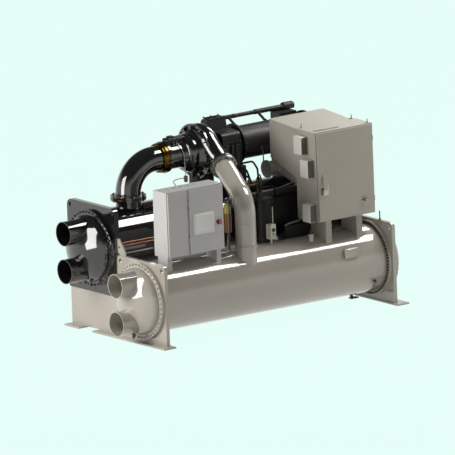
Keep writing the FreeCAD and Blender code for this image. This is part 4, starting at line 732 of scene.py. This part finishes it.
def make_economizer_details():
    """The filter's head, small lines, brass pieces, conduit, valve face, bands and ribs."""
    low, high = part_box("filter_cap")
    middle = (low + high) / 2
    reach = (high.x - low.x) / 2
    head = turned_piece(Vector((middle.x, middle.y, high.z - 0.052)), UP,
                        ((0, reach + 0.001), (0.003, reach + 0.004), (0.046, reach + 0.004),
                         (0.054, reach - 0.004), (0.056, reach * 0.55), (0.066, reach * 0.5)), 32)
    settle(head, "filter_head", "black")
    lines = [pipe_along([spot(2.061, 0.905, 1.765), spot(2.061, 0.905, 1.800), spot(2.030, 0.985, 1.812),
                         spot(1.990, 1.120, 1.770), spot(1.975, 1.230, 1.640), spot(1.970, 1.270, 1.450)],
                        0.009),
             pipe_along([spot(2.244, 0.905, 1.765), spot(2.244, 0.905, 1.795), spot(2.262, 0.960, 1.800),
                         spot(2.300, 1.050, 1.745), spot(2.330, 1.130, 1.640), spot(2.345, 1.190, 1.380)],
                        0.009),
             pipe_along([spot(2.150, 0.860, 1.500), spot(2.150, 0.845, 1.610), spot(2.190, 0.835, 1.655),
                         spot(2.330, 0.830, 1.650), spot(2.420, 0.835, 1.640), spot(2.440, 0.860, 1.500)],
                        0.011)]
    settle(joined(lines), "economizer_lines", "dull")
    bar = turned_piece(spot(1.960, 0.905, 1.690), ALONG, ((0, 0.010), (0.004, 0.014), (0.246, 0.014),
                                                          (0.250, 0.010)), 16)
    stems = [turned_piece(spot(along, 0.905, 1.580), UP, ((0, 0.012), (0.120, 0.012), (0.124, 0.017),
                                                          (0.150, 0.017)), 12) for along in (1.975, 2.190)]
    settle(joined([bar, *stems]), "brass_manifold", "brass")
    caps = [turned_piece(spot(along, 0.910, 1.745), UP, ((0, 0.022), (0.018, 0.022), (0.022, 0.016)), 6)
            for along in (2.061, 2.244)]
    settle(joined(caps), "brass_valve_caps", "brass")
    conduit = pipe_along([spot(2.400, 0.625, 1.120), spot(2.400, 0.620, 1.150), spot(2.450, 0.612, 1.172),
                          spot(2.560, 0.606, 1.182), spot(2.640, 0.604, 1.192), spot(2.660, 0.604, 1.232)],
                         0.014)
    settle(conduit, "cooler_conduit", "steel")
    face = framed_plate(spot(2.031, 0.424, 1.075), spot(2.113, 0.431, 1.250), -BACK, 0.010, 0.003, 0.002)
    settle(face, "level_valve_face", "valve")
    eye = turned_piece(spot(2.075, 0.4275, 1.172), -BACK, ((0, 0.024), (0.010, 0.024), (0.014, 0.018),
                                                           (0.018, 0.018)), 20)
    knob = turned_piece(spot(2.082, 0.4275, 1.110), -BACK, ((0, 0.018), (0.014, 0.018), (0.018, 0.013)), 20)
    settle(eye, "level_valve_glass", "shadow")
    settle(knob, "level_valve_knob", "steel")
    bands = [turned_piece(spot(2.112, 0.650, up), UP, ((0, 0.1045), (0.003, 0.1085), (0.019, 0.1085),
                                                       (0.022, 0.1045)), 48) for up in (1.080, 1.500)]
    settle(joined(bands), "float_drum_bands", "dull")
    ribs = [block(spot(along, 0.762, 1.012), spot(along + 0.014, 0.772, 1.488), 0.004, 2)
            for along in (2.30, 2.62, 2.93)]
    settle(joined(ribs), "economizer_ribs", "dull")


# Ground and light

MINT = (0.800, 1.0, 0.945)
FLOOR_SIZE, FLOOR_COLOUR, FLOOR_GLOW = 120, (0.80, 0.80, 0.77), 0.985
SKY_COLOUR, SKY_LIGHT = (1.0, 0.99, 0.97), 0.239
LAMP_COLOUR = (1.0, 0.985, 0.95)

# What gloss mirrors: pale up to the first height of the sky, dark from the second on
MIRRORED_PALE, MIRRORED_DARK = (0.80, 0.80, 0.76), (0.05, 0.05, 0.05)
MIRRORED_PALE_UP_TO, MIRRORED_DARK_FROM = 0.14, 0.42


def seen_directly(nodes, links, paths):
    """1 where the camera looks straight at a surface or through glass, else 0."""
    seen = nodes.new("ShaderNodeMath")
    seen.operation = "MAXIMUM"
    links.new(paths.outputs["Is Camera Ray"], seen.inputs[0])
    links.new(paths.outputs["Is Transmission Ray"], seen.inputs[1])
    return seen


def make_stage():
    deselect()
    bpy.ops.mesh.primitive_plane_add(size=FLOOR_SIZE, location=(0, 0, 0))
    floor = bpy.context.object
    floor.name = "floor"
    material, nodes, links, shader = shader_tree("pale_floor")
    shader.inputs["Base Color"].default_value = (*FLOOR_COLOUR, 1)
    shader.inputs["Roughness"].default_value = 0.9
    shader.inputs["Specular IOR Level"].default_value = 0.1
    paths = nodes.new("ShaderNodeLightPath")
    mirrored = nodes.new("ShaderNodeEmission")
    mirrored.inputs["Color"].default_value = (*MIRRORED_PALE, 1)
    glow = nodes.new("ShaderNodeEmission")
    glow.inputs["Color"].default_value = (*MINT, 1)
    glossy = nodes.new("ShaderNodeMixShader")
    links.new(paths.outputs["Is Glossy Ray"], glossy.inputs["Fac"])
    links.new(shader.outputs["BSDF"], glossy.inputs[1])
    links.new(mirrored.outputs["Emission"], glossy.inputs[2])
    share = nodes.new("ShaderNodeMath")
    share.operation = "MULTIPLY"
    share.inputs[1].default_value = FLOOR_GLOW
    links.new(seen_directly(nodes, links, paths).outputs["Value"], share.inputs[0])
    mix = nodes.new("ShaderNodeMixShader")
    links.new(share.outputs["Value"], mix.inputs["Fac"])
    links.new(glossy.outputs["Shader"], mix.inputs[1])
    links.new(glow.outputs["Emission"], mix.inputs[2])
    links.new(mix.outputs["Shader"], nodes["Material Output"].inputs["Surface"])
    floor.data.materials.append(material)


def make_world():
    world = bpy.data.worlds.new("studio")
    bpy.context.scene.world = world
    world.use_nodes = True
    nodes, links = world.node_tree.nodes, world.node_tree.links
    soft = nodes["Background"]
    soft.inputs["Color"].default_value = (*SKY_COLOUR, 1)
    soft.inputs["Strength"].default_value = SKY_LIGHT
    place = nodes.new("ShaderNodeTexCoord")
    axes = nodes.new("ShaderNodeSeparateXYZ")
    links.new(place.outputs["Generated"], axes.inputs["Vector"])
    ramp = nodes.new("ShaderNodeValToRGB")
    ramp.color_ramp.elements[0].position = MIRRORED_PALE_UP_TO
    ramp.color_ramp.elements[0].color = (*MIRRORED_PALE, 1)
    ramp.color_ramp.elements[1].position = MIRRORED_DARK_FROM
    ramp.color_ramp.elements[1].color = (*MIRRORED_DARK, 1)
    links.new(axes.outputs["Z"], ramp.inputs["Fac"])
    mirrored = nodes.new("ShaderNodeBackground")
    links.new(ramp.outputs["Color"], mirrored.inputs["Color"])
    pale = nodes.new("ShaderNodeBackground")
    pale.inputs["Color"].default_value = (*MINT, 1)
    paths = nodes.new("ShaderNodeLightPath")
    glossy = nodes.new("ShaderNodeMixShader")
    links.new(paths.outputs["Is Glossy Ray"], glossy.inputs["Fac"])
    links.new(soft.outputs["Background"], glossy.inputs[1])
    links.new(mirrored.outputs["Background"], glossy.inputs[2])
    mix = nodes.new("ShaderNodeMixShader")
    links.new(seen_directly(nodes, links, paths).outputs["Value"], mix.inputs["Fac"])
    links.new(glossy.outputs["Shader"], mix.inputs[1])
    links.new(pale.outputs["Background"], mix.inputs[2])
    links.new(mix.outputs["Shader"], nodes["World Output"].inputs["Surface"])


def softbox(name, centre, target, width, height, radiance, roll=0.0):
    """A plain rectangular lamp that looks at a point."""
    deselect()
    bpy.ops.object.light_add(type="AREA")
    lamp = bpy.context.object
    lamp.name = name
    lamp.data.shape = "RECTANGLE"
    lamp.data.size, lamp.data.size_y = width, height
    lamp.data.energy = radiance * math.pi * width * height
    lamp.data.color = LAMP_COLOUR
    aim = (target - centre).to_track_quat("-Z", "Y").to_matrix().to_4x4()
    lamp.matrix_world = Matrix.Translation(centre) @ aim @ Matrix.Rotation(math.radians(roll), 4, "Z")
    lamp.visible_camera = False


def make_lights():
    softbox("left_softbox", spot(-4.0, 1.62, 2.68), spot(0.0, 1.2, 1.2), 2.4, 3.7, 7.7, roll=18)
    softbox("top_strip", spot(6.70, -0.65, 8.00), spot(6.70, -0.65, 0.0), 4.8, 3.1, 12.0)
    softbox("rear_strip", spot(7.50, 4.00, 6.00), spot(1.65, 0.60, 1.80), 1.6, 3.2, 6.0)


bpy.context.scene.view_settings.view_transform = "Standard"
make_camera()
materials = make_materials()
paint_nodes()
make_bolts()
make_discharge_details()
make_drive_details()
make_panel_details()
make_cabinet_insides()
make_shell_details()
make_compressor_details()
make_casing_details()
make_compressor_supports()
make_economizer_details()
make_stage()
make_world()
make_lights()
